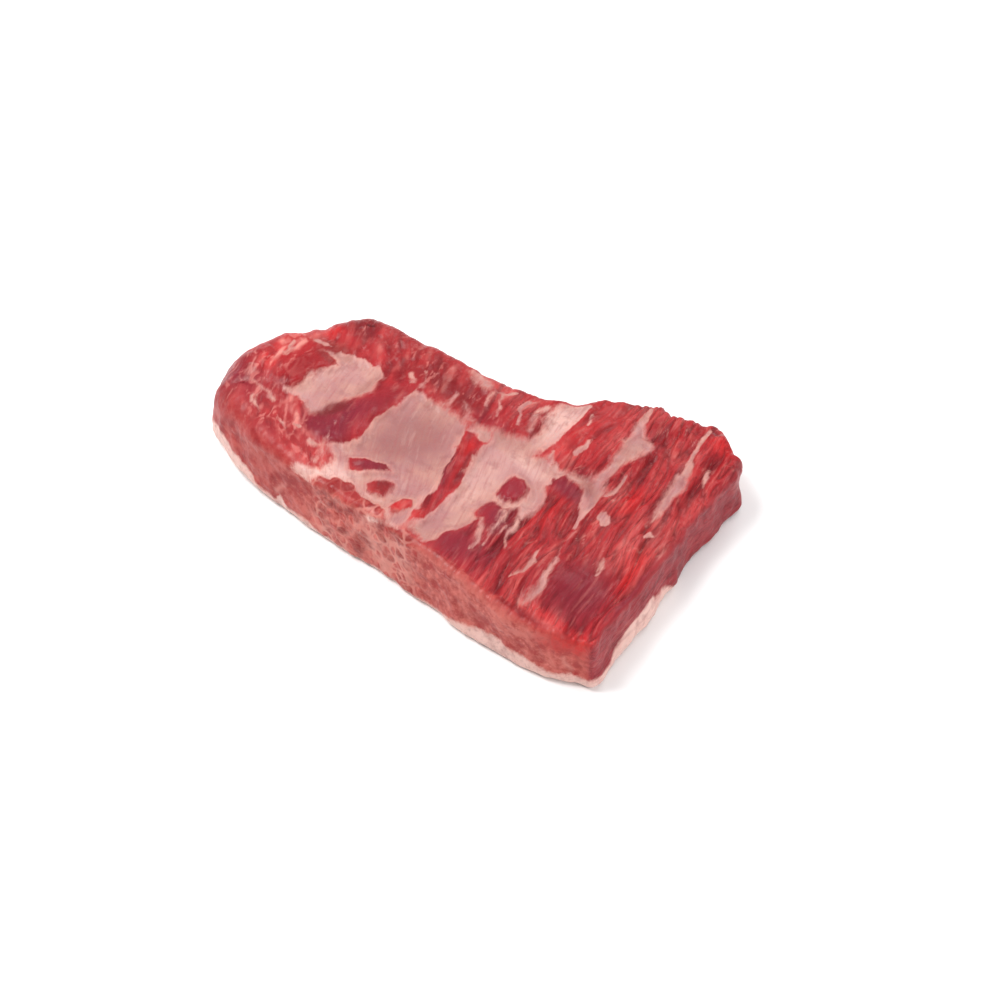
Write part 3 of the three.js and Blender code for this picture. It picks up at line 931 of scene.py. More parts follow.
@dataclass(frozen=True)
class SideRelief:
    """How far the side stands out from its plain wall, in mm."""

    rough: tuple[Lumps, ...] = (Lumps(21, 2.0), Lumps(9, 1.0), Lumps(4, 0.5))
    torn: Lumps = Lumps(11, 2.2)
    torn_upright: float = 0.3
    torn_x: Span = (-10, 20)
    torn_y: Span = (90, 120)
    lip: float = 2.5
    lip_x: Span = (110, 125)
    lip_y: Span = (63, 56)
    lip_z: Span = (17, 9)

    def at(self, x: Array, y: Array, z: Array) -> Array:
        """Work out the relief at points of the side."""
        torn = ease(*self.torn_x, x) * ease(*self.torn_y, y) * self.torn.space(x, y, z * self.torn_upright)
        lip = self.lip * ease(*self.lip_x, x) * ease(*self.lip_y, y) * ease(*self.lip_z, z)
        return torn + lip + sum(lumps.space(x, y, z) for lumps in self.rough)


@dataclass(frozen=True)
class Slab:
    """The slab's body: its heights, its sides and its relief, in mm."""

    outline: Outline = Outline()
    grain: Grain = Grain()
    fat: FatMap = FatMap()
    tones: LeanTones = LeanTones()
    strands: StrandRelief = StrandRelief()
    side: SideRelief = SideRelief()
    thickness: Stations = ((-240, 59), (-120, 60), (-20, 59), (60, 55), (110, 49), (150, 43))
    far_loss: Stations = ((-240, 1), (-60, 4), (60, 9), (150, 7))
    far_loss_from: float = -74
    far_loss_width: float = 240
    side_lean: float = 2
    rolls: tuple[Roll, ...] = (
        Roll(-200, -6, 34, 38, 5), Roll(-190, 68, 26, 18, 4), Roll(-110, 76, 80, 15, 3.5),
        Roll(-116, 2, 9, 48, 1.5), Roll(-28, -18, 7, 42, 2), Roll(62, 112, 60, 40, 3),
        Roll(95, -20, 40, 40, 2),
    )
    fold: Fold = Fold()
    window_depth: float = 3.2
    window_bank: Span = (-3, 9)
    buried: float = 0.9
    buried_bank: Span = (-2, 2)
    flap: float = 1.6
    flap_bank: Span = (0.15, 0.6)
    flap_foot: Span = (1, -2.5)
    lumps: tuple[Lumps, ...] = (Lumps(34, 2.2), Lumps(9, 0.8))
    far_half: Span = (58, 78)
    far_lumps: tuple[Lumps, ...] = (Lumps(9, 1.0), Lumps(5, 0.6, 3))
    long_steps: int = 346
    cross_steps: int = 164
    lower_steps: int = 4
    wall_steps: int = 24
    shoulder_steps: int = 8

    def top_fat(self, x: Array, y: Array) -> tuple[Array, Array]:
        """Depth inside any fat on the top, and inside a window alone."""
        return self.fat.top(x, y, self.grain.tear(x, y))

    def top(self, x: Array, y: Array) -> Array:
        """Height of the top.

        Args:
            x: Plan X of the points.
            y: Plan Y of the points.

        Returns:
            Heights over the underside, in mm.
        """
        loss = along_stations(self.far_loss, x) * (y - self.far_loss_from) / self.far_loss_width
        height = along_stations(self.thickness, x) - loss - self.fold.at(x, y)
        height = height + sum(roll.at(x, y) for roll in self.rolls)
        fat, window = self.top_fat(x, y)
        height = height - self.window_depth * ease(*self.window_bank, window)
        calm = tinted(self.tones.calm, x, y)
        strands = self.strands.at(self.grain.combed(x, y), self.tones.long(x, y), calm, x, y)
        height = height + strands * (1 - self.buried * ease(*self.buried_bank, fat))
        flap = ease(*self.flap_bank, tinted(self.tones.flaps, x, y)) * ease(*self.flap_foot, fat)
        far = ease(*self.far_half, y)
        height = height + self.flap * flap + sum(lumps.plan(x, y) for lumps in self.lumps)
        return height + far * sum(lumps.plan(x, y) for lumps in self.far_lumps)

    def levels(self, ring: Ring) -> tuple[Array, Array]:
        """Grow the rings of the side, from the flat underside up to the start of the top.

        Args:
            ring: The fine outline.

        Returns:
            Ring points by level, and how much of a wall each level is, from 1 to 0 at the top.
        """
        inner = ring.points - ring.outward * (ring.shoulder + self.side_lean)[:, None]
        top = self.top(inner[:, 0], inner[:, 1])
        x, y = ring.points.T
        levels, wall = [], []

        def add(inset: Array, z: Array, fade: float, share: float) -> None:
            """Add one level of the side."""
            out = self.side.at(x, y, z) * fade - inset
            levels.append(np.column_stack([ring.points + ring.outward * out[:, None], z]))
            wall.append(share)

        for i in range(self.lower_steps + 1):
            turn = i / self.lower_steps * np.pi / 2
            add(ring.lower * (1 - np.sin(turn)), ring.lower * (1 - np.cos(turn)), i / self.lower_steps, 1.0)
        for i in range(1, self.wall_steps + 1):
            share = i / (self.wall_steps + 1)
            add(self.side_lean * share, ring.lower + (top - ring.shoulder - ring.lower) * share, 1.0, 1.0)
        for i in range(self.shoulder_steps + 1):
            share = i / self.shoulder_steps
            turn = share * np.pi / 2
            inset = self.side_lean + ring.shoulder * (1 - np.cos(turn))
            add(inset, top - ring.shoulder * (1 - np.sin(turn)), 1 - share, 1 - share)
        return np.array(levels), np.array(wall)

    def sheet(self, edge: Array) -> Array:
        """Stretch the top between the four sides of the last ring.

        Args:
            edge: The last ring of the side.

        Returns:
            A grid of points, long steps by cross steps.
        """
        long_steps, cross_steps = self.long_steps, self.cross_steps
        i, j = np.meshgrid(np.arange(long_steps + 1), np.arange(cross_steps + 1), indexing="ij")
        u = self.outline.share(Side.NEAR, i / long_steps)[..., None]
        v = (j / cross_steps)[..., None]
        near, cut = edge[i], edge[long_steps + j]
        far = edge[2 * long_steps + cross_steps - i]
        back = edge[(2 * long_steps + 2 * cross_steps - j) % len(edge)]
        corners = (edge[i] for i in (0, long_steps, long_steps + cross_steps, 2 * long_steps + cross_steps))
        weights = ((1 - u) * (1 - v), u * (1 - v), u * v, (1 - u) * v)
        grid = near * (1 - v) + far * v + back * (1 - u) + cut * u
        grid = grid - sum(corner * weight for corner, weight in zip(corners, weights))
        grid[..., 2] = self.top(grid[..., 0], grid[..., 1])
        for rim, border in ((j == 0, near), (i == long_steps, cut), (j == cross_steps, far), (i == 0, back)):
            grid[rim] = border[rim]
        return grid


@dataclass(frozen=True)
class Skin:
    """The slab's vertices, with how much each one belongs to a side, a rim or a kind of muscle.

    Attributes:
        x: Plan X.
        y: Plan Y.
        z: Height.
        far_facing: How much it faces the far side, from -1 to 1.
        wave: How far the borders of the fat wave here, in mm.
        combed: Noises combed along the fibres.
        wall: Share of any wall: the near side, the cut end, or the hidden far side and round end.
        near_rim: Share of the top's rim over the near side.
        cut_rim: Share of the top's rim over the cut end.
        long: How much the muscle lies in long strands.
        patchy: Loose patches in which the marbling shows.
        back: How far it is on the far half of the top.
    """

    x: Array
    y: Array
    z: Array
    far_facing: Array
    wave: Array
    combed: dict[Comb, Array]
    wall: Array
    near: Array
    cut: Array
    hidden: Array
    top: Array
    near_rim: Array
    cut_rim: Array
    long: Array
    calm: Array
    marbled: Array
    matted: Array
    patchy: Array
    back: Array

    def left(self, **shares: float) -> Array:
        """Work out what is left of a value where the named masks each take a share of it.

        Args:
            **shares: Share that each mask takes where it is 1.

        Returns:
            What is left, from 0 to 1.
        """
        return np.prod([1 - share * getattr(self, name) for name, share in shares.items()], axis=0)


@dataclass(frozen=True)
class SkinMap:
    """What the finish needs at each vertex.

    A span holds the value where something starts and the value where it is full. Spans named after an
    axis are plan mm, or mm of height.
    """

    slab: Slab
    near_faces: Span = (0.55, 0.9)
    cut_faces: Span = (0.5, 0.9)
    cut_x: Span = (80, 100)
    near_rim_slope: Span = (1.5, -1.5)
    near_rim_x: Span = (-112, -96)
    cut_rim_slope: Span = (-1.5, 2.0)
    cut_rim_y: Span = (150, 120)
    rim_ripple: Lumps = Lumps(8, 1.6, 81)
    patches: tuple[Lumps, ...] = (Lumps(16, 1.0, 73), Lumps(7, 0.5, 74))
    patches_show: Span = (-0.1, 0.5)
    back_y: Span = (20, 50)

    fat_wave: Lumps = Lumps(14, 4.5)
    near_fat_rise: float = 0.6
    cut_fat_rise: float = 0.8
    hidden_fat_rise: float = 2.2
    gap_wave: Point = (0.7, 0.5)
    far_seam_end: float = 30
    far_seam_faces: Span = (0.6, 0.3)
    fat_limit: float = 9
    underside_z: float = 0.3
    underside_fat: float = 4.5
    underside_lumps: tuple[Lumps, ...] = (Lumps(30, 3.5, 91), Lumps(9, 1.5, 92))
    underside_dull: float = 0.6
    underside_tones: Lumps = Lumps(40, 0.7, 93)
    # Painted light: the fat on the sides is painted paler, as they face away from the light.
    wall_painted_light: float = 1.1

    foot_z: Span = (0.1, 1.5)
    tone_shade: float = 0.6
    thread_shade: float = 0.4
    fold_shade: float = 0.35
    fold_limit: float = 1.5
    shred_lumps: tuple[Lumps, ...] = (Lumps(13, 0.7, 79), Lumps(6, 0.45, 80))
    wall_lumps: tuple[Lumps, ...] = (Lumps(6, 1.2), Lumps(15, 0.8))
    wall_streaks: Lumps = Lumps(5, 3.0)
    wall_streak_scale: Point = (0.2, 0.12)
    wall_streaks_show: Span = (0.45, 1.1)
    wall_streak_shade: float = 0.5
    # Painted shade on the near rim, whose rounded shoulder catches the key light.
    rim_painted_shade: float = 0.7
    shade_limit: float = 2

    # Painted shade: the hollows between strands and between shreds are painted darker.
    groove_width: float = 0.26
    shred_grooves: Span = (-0.9, -1.8)
    shred_groove: float = 0.5
    flecks_show: Span = (0.7, 1.7)
    fleck_mix: Point = (0.75, 0.65)
    vein_width: float = 0.15
    veins_show: Span = (-0.6, 0.8)
    gaps_show: Span = (-2.6, 1.8)
    gap_share: float = 0.6
    rim_line: float = 2.4
    rim_line_from: Span = (-10, 10)
    rim_line_to: Span = (120, 60)

    pink_shows: Span = (-0.4, 1.6)
    pink_thread: float = 0.5
    pink_cut: float = 0.45
    corner_x: Span = (100, 132)
    corner_z: Span = (24, 40)
    corner_bright: float = 0.8
    salmon_x: Span = (-150, -85)
    salmon_rim: Point = (0.7, 0.25)
    salmon_rim_x: Span = (60, 95)
    salmon_rim_lumps: Lumps = Lumps(5)
    salmon_rim_shows: Span = (-1.2, 0.2)
    cut_purple: float = 0.7
    cut_rim_purple: float = 0.9
    cut_rim_dark: float = 0.5
    cut_rim_back_y: Span = (10, 60)
    cut_rim_back_share: float = 0.4
    round_end_dark: float = 0.5
    round_end_x: Span = (-80, -150)
    bundled_from_x: Span = (-108, -86)
    bundled_to_x: Span = (20, -14)
    rim_bundled: float = 0.75
    rim_bundled_to_x: Span = (10, -14)
    least_stranded: float = 0.35
    rims_strandless: float = 0.7
    cut_haze: float = 0.2
    hidden_haze: float = 0.6

    def skin(self, places: Array, outward: Array, wall: Array) -> Skin:
        """Tell the sides, the rims and the kinds of muscle apart.

        Args:
            places: Vertices in plan mm.
            outward: Ways that face out, zero on the top.
            wall: How much of a wall each vertex is.

        Returns:
            The vertices with their shares.
        """
        x, y, z = places.T
        tones = self.slab.tones
        near = wall * ease(*self.near_faces, -outward[:, 1])
        cut = wall * ease(*self.cut_faces, outward[:, 0]) * ease(*self.cut_x, x)
        hidden = np.clip(wall - near - cut, 0, 1)
        top = np.clip(1 - near - cut - hidden, 0, 1)
        ripple = self.rim_ripple.plan(x, y)
        cut_rim = ease(*self.cut_rim_slope, x + ripple - along_stations(tones.cut_rim, y))
        cut_rim = (1 - wall) * cut_rim * ease(*self.cut_rim_y, y)
        near_rim = ease(*self.near_rim_slope, y + ripple - along_stations(tones.near_rim, x))
        near_rim = (1 - wall) * near_rim * ease(*self.near_rim_x, x) * (1 - cut_rim)
        return Skin(
            x=x, y=y, z=z,
            far_facing=outward[:, 1],
            wave=self.fat_wave.mottled(x, y, z),
            combed=self.slab.grain.combed(x, y),
            wall=wall, near=near, cut=cut, hidden=hidden, top=top,
            near_rim=near_rim, cut_rim=cut_rim,
            long=tones.long(x, y),
            calm=tinted(tones.calm, x, y),
            marbled=tinted(tones.marbled, x, y),
            matted=tinted(tones.matted, x, y) * top,
            patchy=ease(*self.patches_show, piled(self.patches, x, y)),
            back=ease(*self.back_y, y),
        )

    def fat_edge(self, skin: Skin) -> Array:
        """Measure how deep each vertex lies inside the fat.

        Args:
            skin: The vertices.

        Returns:
            Depths in mm, negative in the lean.
        """
        x, y, z, wave, fat = skin.x, skin.y, skin.z, skin.wave, self.slab.fat
        seams = deepest(fat.far_seams, x + wave, z + wave)
        seams = seams - self.far_seam_end * ease(*self.far_seam_faces, skin.far_facing)
        depths = (
            (self.slab.top_fat(x, y)[0], skin.top),
            (fat.near_wall(x + wave, z + self.near_fat_rise * wave), skin.near),
            (fat.cut_wall(y + wave, z + self.cut_fat_rise * wave), skin.cut),
            (np.maximum(fat.hidden_foot + self.hidden_fat_rise * wave - z, seams), skin.hidden),
        )
        edge = sum(np.clip(depth, -self.fat_limit, self.fat_limit) * share for depth, share in depths)
        return np.where(z < self.underside_z, self.underside_fat + piled(self.underside_lumps, x, y), edge)

    def dull(self, skin: Skin) -> Array:
        """How dull the fat is, negative where it is fresh; the sides get painted light, paler fat because
        they face away from the light.
        """
        x, y, fat = skin.x, skin.y, self.slab.fat
        top = (tinted(fat.dull, x, y) - tinted(fat.fresh, x, y)) * skin.top
        under = (skin.z < self.underside_z) * (self.underside_dull + self.underside_tones.plan(x, y))
        return top - self.wall_painted_light * (1 - skin.top) + under

    def cut_shade(self, skin: Skin) -> Array:
        """Shade of the muscle that is cut across its fibres, with streaks on the cut end."""
        x, y, z = skin.x, skin.y, skin.z
        scale_x, scale_y = self.wall_streak_scale
        streaks = ease(*self.wall_streaks_show, np.abs(self.wall_streaks.space(x * scale_x, y * scale_y, z)))
        shade = sum(lumps.mottled(x, y, z) for lumps in self.wall_lumps)
        return shade + self.wall_streak_shade * (2 * streaks - 1) * skin.cut

    def shade(self, skin: Skin) -> Array:
        """Work out the shade from strand to strand.

        Args:
            skin: The vertices.

        Returns:
            Shades from the darkest, below 0, to the lightest, above 0.
        """
        combed, long = skin.combed, skin.long
        shade = self.tone_shade * combed[Comb.TONE] + self.thread_shade * combed[Comb.FINE]
        shade = shade * raised(0.55, long) * skin.left(calm=0.6)
        folds = np.clip(combed[Comb.BROAD], -self.fold_limit, self.fold_limit)
        shade = shade + self.fold_shade * folds * long * skin.left(calm=1)
        lumps = sum(lump.mixed(skin.x, skin.y) for lump in self.shred_lumps)
        shade = shade + lumps * (1 - long)
        cut = self.cut_shade(skin)
        # Painted shade: the near rim is painted darker, where its rounded shoulder catches the key light.
        shade = shade * skin.left(near_rim=1, cut_rim=0.5) + (cut - self.rim_painted_shade) * skin.near_rim
        shade = shade * skin.top + cut * (1 - skin.top)
        return np.clip(shade, -self.shade_limit, self.shade_limit) * ease(*self.foot_z, skin.z)

    def groove(self, skin: Skin) -> Array:
        """How much painted shade a vertex gets in the hollows between strands or shreds."""
        # Painted shade along the zero lines of the combed noise, which the relief makes into hollows.
        strands = np.exp(-(skin.combed[Comb.COARSE] / self.groove_width) ** 2) * skin.long
        shreds = self.shred_groove * ease(*self.shred_grooves, skin.combed[Comb.SHORT]) * (1 - skin.long)
        return (strands + shreds) * skin.top * skin.left(near_rim=1, cut_rim=1, calm=0.8)

    def threads(self, skin: Skin) -> Array:
        """Work out how much thin fat shows on the lean.

        Args:
            skin: The vertices.

        Returns:
            Shares for the marbling of the top, the gaps in the near side and the pale line of its rim.
        """
        short, long = skin.combed[Comb.SHORT], skin.long
        flecks = self.fleck_mix[0] * short + self.fleck_mix[1] * skin.combed[Comb.FINE]
        flecks = ease(*self.flecks_show, flecks) * skin.left(long=0.6)
        lines = np.exp(-(skin.combed[Comb.VEINS] / self.vein_width) ** 2) * raised(0.2, long)
        marbling = np.maximum(flecks, lines * ease(*self.veins_show, short)) * skin.patchy
        marbling = marbling * raised(0.3, skin.marbled) * (1 - 0.5 * skin.back * (1 - long))
        along, up = self.gap_wave
        gaps = deepest(self.slab.fat.near_gaps, skin.x + along * skin.wave, skin.z + up * skin.wave)
        line = self.rim_line * skin.near * (1 - skin.near) * raised(0.4, skin.patchy)
        line = line * ease(*self.rim_line_from, skin.x) * ease(*self.rim_line_to, skin.x)
        marbling = marbling * skin.top * skin.left(near_rim=1, calm=0.6)
        return marbling + self.gap_share * ease(*self.gaps_show, gaps) * skin.near + line

    def pink(self, skin: Skin) -> Array:
        """How pink the lean is: among marbled shreds, in its own patches and on the cut end."""
        shreds = ease(*self.pink_shows, skin.combed[Comb.SHORT] + self.pink_thread * skin.combed[Comb.FINE])
        shreds = shreds * (1 - skin.long) * raised(0.2, skin.marbled) * raised(0.3, skin.patchy)
        patches = tinted(self.slab.tones.pink, skin.x, skin.y) * raised(0.6, skin.patchy)
        pink = np.clip(shreds * skin.left(back=0.6) + patches, 0, 1)
        return pink * skin.left(near=1, hidden=0.6, calm=0.7, matted=0.6, cut=1) + self.pink_cut * skin.cut

    def corner(self, skin: Skin) -> Array:
        """Share of the bright upper corner of the near side, at the cut end."""
        return skin.near * ease(*self.corner_x, skin.x) * ease(*self.corner_z, skin.z)

    def salmon(self, skin: Skin) -> Array:
        """How much the lean is salmon, on the near side and in patches on its rim."""
        x, y, z = skin.x, skin.y, skin.z
        near = skin.near * raised(0.5, ease(*self.salmon_x, x)) * (1 - 0.6 * self.corner(skin))
        start, end = self.salmon_rim
        rim = skin.near_rim * (start + (end - start) * ease(*self.salmon_rim_x, x))
        return np.maximum(near, rim * ease(*self.salmon_rim_shows, self.salmon_rim_lumps.mottled(x, y, z)))

    def lean_values(self, skin: Skin) -> dict[str, Array]:
        """Work out the tones of the lean.

        Args:
            skin: The vertices.

        Returns:
            Named values from 0 to 1.
        """
        x, y, tones = skin.x, skin.y, self.slab.tones
        purple, dark, bright = (tinted(tints, x, y) for tints in (tones.purple, tones.dark, tones.bright))
        cut_rim = skin.cut_rim * (1 - (1 - self.cut_rim_back_share) * ease(*self.cut_rim_back_y, y))
        cut_purple = np.maximum(self.cut_purple * skin.cut, self.cut_rim_purple * cut_rim)
        round_end = self.round_end_dark * skin.near * ease(*self.round_end_x, x)
        dark = dark * skin.left(near=1) + round_end + self.cut_rim_dark * cut_rim
        bundled = skin.near * ease(*self.bundled_from_x, x) * ease(*self.bundled_to_x, x)
        stranded = np.maximum(skin.long, self.least_stranded) * skin.left(near=1, calm=0.5)
        rims = np.maximum(skin.near_rim, skin.cut_rim)
        corner = self.corner_bright * self.corner(skin)
        return {
            "bright": np.clip(bright * skin.left(cut=1, cut_rim=1) + corner, 0, 1),
            "purple": np.maximum(purple * skin.left(near=1), cut_purple),
            "brown": tinted(tones.brown, x, y) * skin.left(wall=1),
            "dark": np.clip(dark, 0, 1),
            "pink": self.pink(skin),
            "salmon": self.salmon(skin),
            "bundled": bundled + self.rim_bundled * skin.near_rim * ease(*self.rim_bundled_to_x, x),
            "stranded": stranded * (1 - self.rims_strandless * rims),
            "marbled": skin.marbled
            * skin.left(long=0.6, near=1, near_rim=1, cut=1, hidden=0.4, calm=0.85, matted=1),
            "matted": skin.matted,
            "groove": self.groove(skin),
            "shade": self.shade(skin),
        }

    def values(self, skin: Skin) -> dict[str, Array]:
        """Work out all that the finish reads.

        Args:
            skin: The vertices.

        Returns:
            Named values for each vertex.
        """
        x, y, fat = skin.x, skin.y, self.slab.fat
        haze = self.cut_haze * (skin.near + skin.cut) + self.hidden_haze * skin.hidden
        return self.lean_values(skin) | {
            "fat_edge": self.fat_edge(skin),
            "dull": self.dull(skin),
            "hazy": tinted(fat.hazy, x, y) * skin.top + haze,
            "smudge": tinted(fat.smudges, x, y) * skin.top,
            "thread": self.threads(skin),
        }


def srgb(red: int, green: int, blue: int) -> Colour:
    """Turn a colour as seen on screen, from 0 to 255, into the renderer's own numbers."""
    parts = [v / 255 for v in (red, green, blue)]
    linear = [v / 12.92 if v <= 0.04045 else ((v + 0.055) / 1.055) ** 2.4 for v in parts]
    return (linear[0], linear[1], linear[2], 1.0)


class Paint:
    """Colours that more than one layer uses."""

    RED = srgb(160, 32, 37)
    DEEP = srgb(116, 14, 23)
    BRIGHT = srgb(198, 28, 28)
    PALE = srgb(214, 122, 112)
    MEMBRANE = srgb(216, 132, 124)
    CREAM = srgb(180, 130, 120)
    FRESH = srgb(224, 184, 174)
    DULL = srgb(140, 88, 86)
    STAINED = srgb(150, 80, 82)
    THREAD = srgb(216, 146, 134)


@dataclass(frozen=True)
class Cloud:
    """A soft noise of the finish: how many lumps a unit holds, and how fine and rough they are."""

    scale: float
    detail: float = 2.0
    roughness: float = 0.5


@dataclass(frozen=True)
class Layer:
    """A colour that is laid over the others.

    Attributes:
        colour: The colour.
        share: How much of it shows where its mask is 1, and below 0 where it shows at -1.
        shows: Where it starts and where it is full, if its mask is eased from a value.
    """

    colour: Colour
    share: float = 1.0
    shows: Span | None = None


class Graph:
    """A node tree with short ways to add nodes and wire them."""

    def __init__(self, tree: bpy.types.NodeTree) -> None:
        """Keep the tree that nodes are added to."""
        self.tree = tree

    def node(self, kind: str, inputs: Inputs | None = None, **settings: object) -> bpy.types.Node:
        """Add a node.

        Args:
            kind: The node's type name.
            inputs: What feeds its inputs, by name or index.
            **settings: Its other settings.

        Returns:
            The node.
        """
        node = self.tree.nodes.new(kind)
        for name, value in settings.items():
            setattr(node, name, value)
        for key, value in (inputs or {}).items():
            self.feed(node.inputs[key], value)
        return node

    def feed(self, socket: Socket, value: Feed) -> None:
        """Wire a socket to another, or set its value."""
        if isinstance(value, bpy.types.NodeSocket):
            self.tree.links.new(value, socket)
        else:
            socket.default_value = value

    def math(self, operation: str, *values: Feed, clamp: bool = False) -> Socket:
        """Combine values with one Math node."""
        node = self.node("ShaderNodeMath", dict(enumerate(values)), operation=operation, use_clamp=clamp)
        return node.outputs[0]

    def times(self, first: Feed, *others: Feed, clamp: bool = False) -> Socket:
        """Multiply values with each other."""
        for other in others:
            first = self.math("MULTIPLY", first, other, clamp=clamp)
        return first

    def line(self, value: Feed, slope: Feed, start: Feed) -> Socket:
        """Scale a value and add a start to it."""
        return self.math("MULTIPLY_ADD", value, slope, start)

    def vector(self, operation: str, *values: Feed) -> Socket:
        """Combine vectors with one Vector Math node."""
        node = self.node("ShaderNodeVectorMath", dict(enumerate(values)), operation=operation)
        return node.outputs[0]

    def shrunk(self, place: Socket, size: Feed) -> Socket:
        """Shrink places so that a size becomes one unit."""
        scaled = self.vector("SCALE", place)
        self.feed(scaled.node.inputs["Scale"], self.math("DIVIDE", 1.0, size))
        return scaled

    def shrunk_along(self, fibre: Socket, width: Feed, stretch: Feed) -> Socket:
        """Shrink places along the fibres so that a strand becomes one unit wide and long."""
        across = self.math("DIVIDE", 1.0, width)
        along = self.math("DIVIDE", across, stretch)
        scale = self.node("ShaderNodeCombineXYZ", {0: across, 1: along, 2: across}).outputs[0]
        return self.vector("MULTIPLY", fibre, scale)

    def cloud(self, place: Feed, cloud: Cloud) -> bpy.types.Node:
        """Add a soft noise."""
        inputs = {"Vector": place, "Scale": cloud.scale, "Detail": cloud.detail, "Roughness": cloud.roughness}
        return self.node("ShaderNodeTexNoise", inputs)

    def bent(self, place: Socket, cloud: Cloud, reach: Point3) -> Socket:
        """Bend places with a noise of their own."""
        bend = self.cloud(place, cloud).outputs["Color"]
        return self.vector("ADD", place, self.vector("MULTIPLY", bend, reach))

    def ease(self, value: Feed, low: Feed, high: Feed, start: Feed = 0.0, end: Feed = 1.0) -> Socket:
        """Ease a value from start at low to end at high."""
        node = self.node(
            "ShaderNodeMapRange",
            {"Value": value, "From Min": low, "From Max": high, "To Min": start, "To Max": end},
            interpolation_type="SMOOTHSTEP",
        )
        return node.outputs["Result"]

    def mix(self, factor: Feed, first: Feed, second: Feed, blend: str = "MIX") -> Socket:
        """Mix two colours."""
        node = self.node("ShaderNodeMix", data_type="RGBA", blend_type=blend)
        for index, value in ((0, factor), (6, first), (7, second)):
            self.feed(node.inputs[index], value)
        return node.outputs[2]

    def over(self, colour: Feed, layer: Layer, source: Feed, *masks: Feed, clamp: bool = False) -> Socket:
        """Lay a layer over a colour.

        Args:
            colour: The colour below.
            layer: The layer.
            source: The layer's mask, or the value that it is eased from.
            *masks: More masks that hold the layer in.
            clamp: Whether the mask is held to 0 and 1.

        Returns:
            The colour with the layer on it.
        """
        mask = self.ease(source, *layer.shows) if layer.shows else source
        return self.mix(self.times(mask, *masks, layer.share, clamp=clamp), colour, layer.colour)

    def noise(self, place: Feed, cloud: Cloud) -> Socket:
        """Read soft noise from 0 to 1."""
        return self.cloud(place, cloud).outputs["Fac"]

    def attribute(self, name: str) -> bpy.types.Node:
        """Read a named value of the mesh."""
        return self.node("ShaderNodeAttribute", attribute_name=name)


class EffectGroup:
    """A shader effect with named inputs and outputs, built once and shared."""

    def __init__(self, name: str, inputs: dict[str, float | Point3], outputs: Sequence[str]) -> None:
        """Make the group and its sockets.

        Args:
            name: The group's name.
            inputs: Starting value of each input, a vector where it has three parts.
            outputs: Names of the outputs, which are all plain values.
        """
        self.tree = bpy.data.node_groups.new(name, "ShaderNodeTree")
        for label, value in inputs.items():
            kind = "NodeSocketVector" if isinstance(value, tuple) else "NodeSocketFloat"
            socket = self.tree.interface.new_socket(name=label, in_out="INPUT", socket_type=kind)
            socket.default_value = value
        for label in outputs:
            self.tree.interface.new_socket(name=label, in_out="OUTPUT", socket_type="NodeSocketFloat")
        self.graph = Graph(self.tree)
        self.inputs = self.tree.nodes.new("NodeGroupInput").outputs
        self.outputs = self.tree.nodes.new("NodeGroupOutput").inputs

    def give(self, label: str, value: Socket) -> None:
        """Wire an output of the group."""
        self.graph.feed(self.outputs[label], value)

    def place(self, graph: Graph, **inputs: Feed) -> Masks:
        """Place the group in a tree.

        Args:
            graph: The tree that uses the effect.
            **inputs: What feeds its inputs.

        Returns:
            Its outputs by name.
        """
        node = graph.node("ShaderNodeGroup", inputs, node_tree=self.tree)
        return {socket.name: socket for socket in node.outputs}


@dataclass(frozen=True)
class StrandGrain:
    """Fine strands that run along the fibres, as a height."""

    fine: Cloud = Cloud(1.0, 2.5, 0.6)
    fine_share: float = 0.9
    coarse: Cloud = Cloud(0.45, 1.5)
    coarse_share: float = 1.6

    def build(self) -> EffectGroup:
        """Build the effect, with the width of a strand and its length by its width."""
        effect = EffectGroup("strand grain", {"Fibre": ORIGIN, "Width": 2.0, "Stretch": 12.0}, ("Height",))
        g, given = effect.graph, effect.inputs
        place = g.shrunk_along(given["Fibre"], given["Width"], given["Stretch"])
        fine, coarse = (
            g.times(g.math("ABSOLUTE", g.line(g.noise(place, cloud), 2.0, -1.0)), share)
            for cloud, share in ((self.fine, self.fine_share), (self.coarse, self.coarse_share))
        )
        effect.give("Height", g.math("ADD", fine, coarse, clamp=True))
        return effect


@dataclass(frozen=True)
class CutGrain:
    """The speckle of muscle cut across its fibres, as a height."""

    fine: Cloud = Cloud(1.0, 3.0, 0.65)
    wide: Cloud = Cloud(0.33, 2.0, 0.55)
    wide_share: float = 0.25

    def build(self) -> EffectGroup:
        """Build the effect, with the size of the speckle."""
        effect = EffectGroup("cut grain", {"Place": ORIGIN, "Size": 1.6}, ("Height",))
        g, given = effect.graph, effect.inputs
        place = g.shrunk(given["Place"], given["Size"])
        fine = g.times(g.noise(place, self.fine), 1.0 - self.wide_share)
        effect.give("Height", g.line(g.noise(place, self.wide), self.wide_share, fine))
        return effect


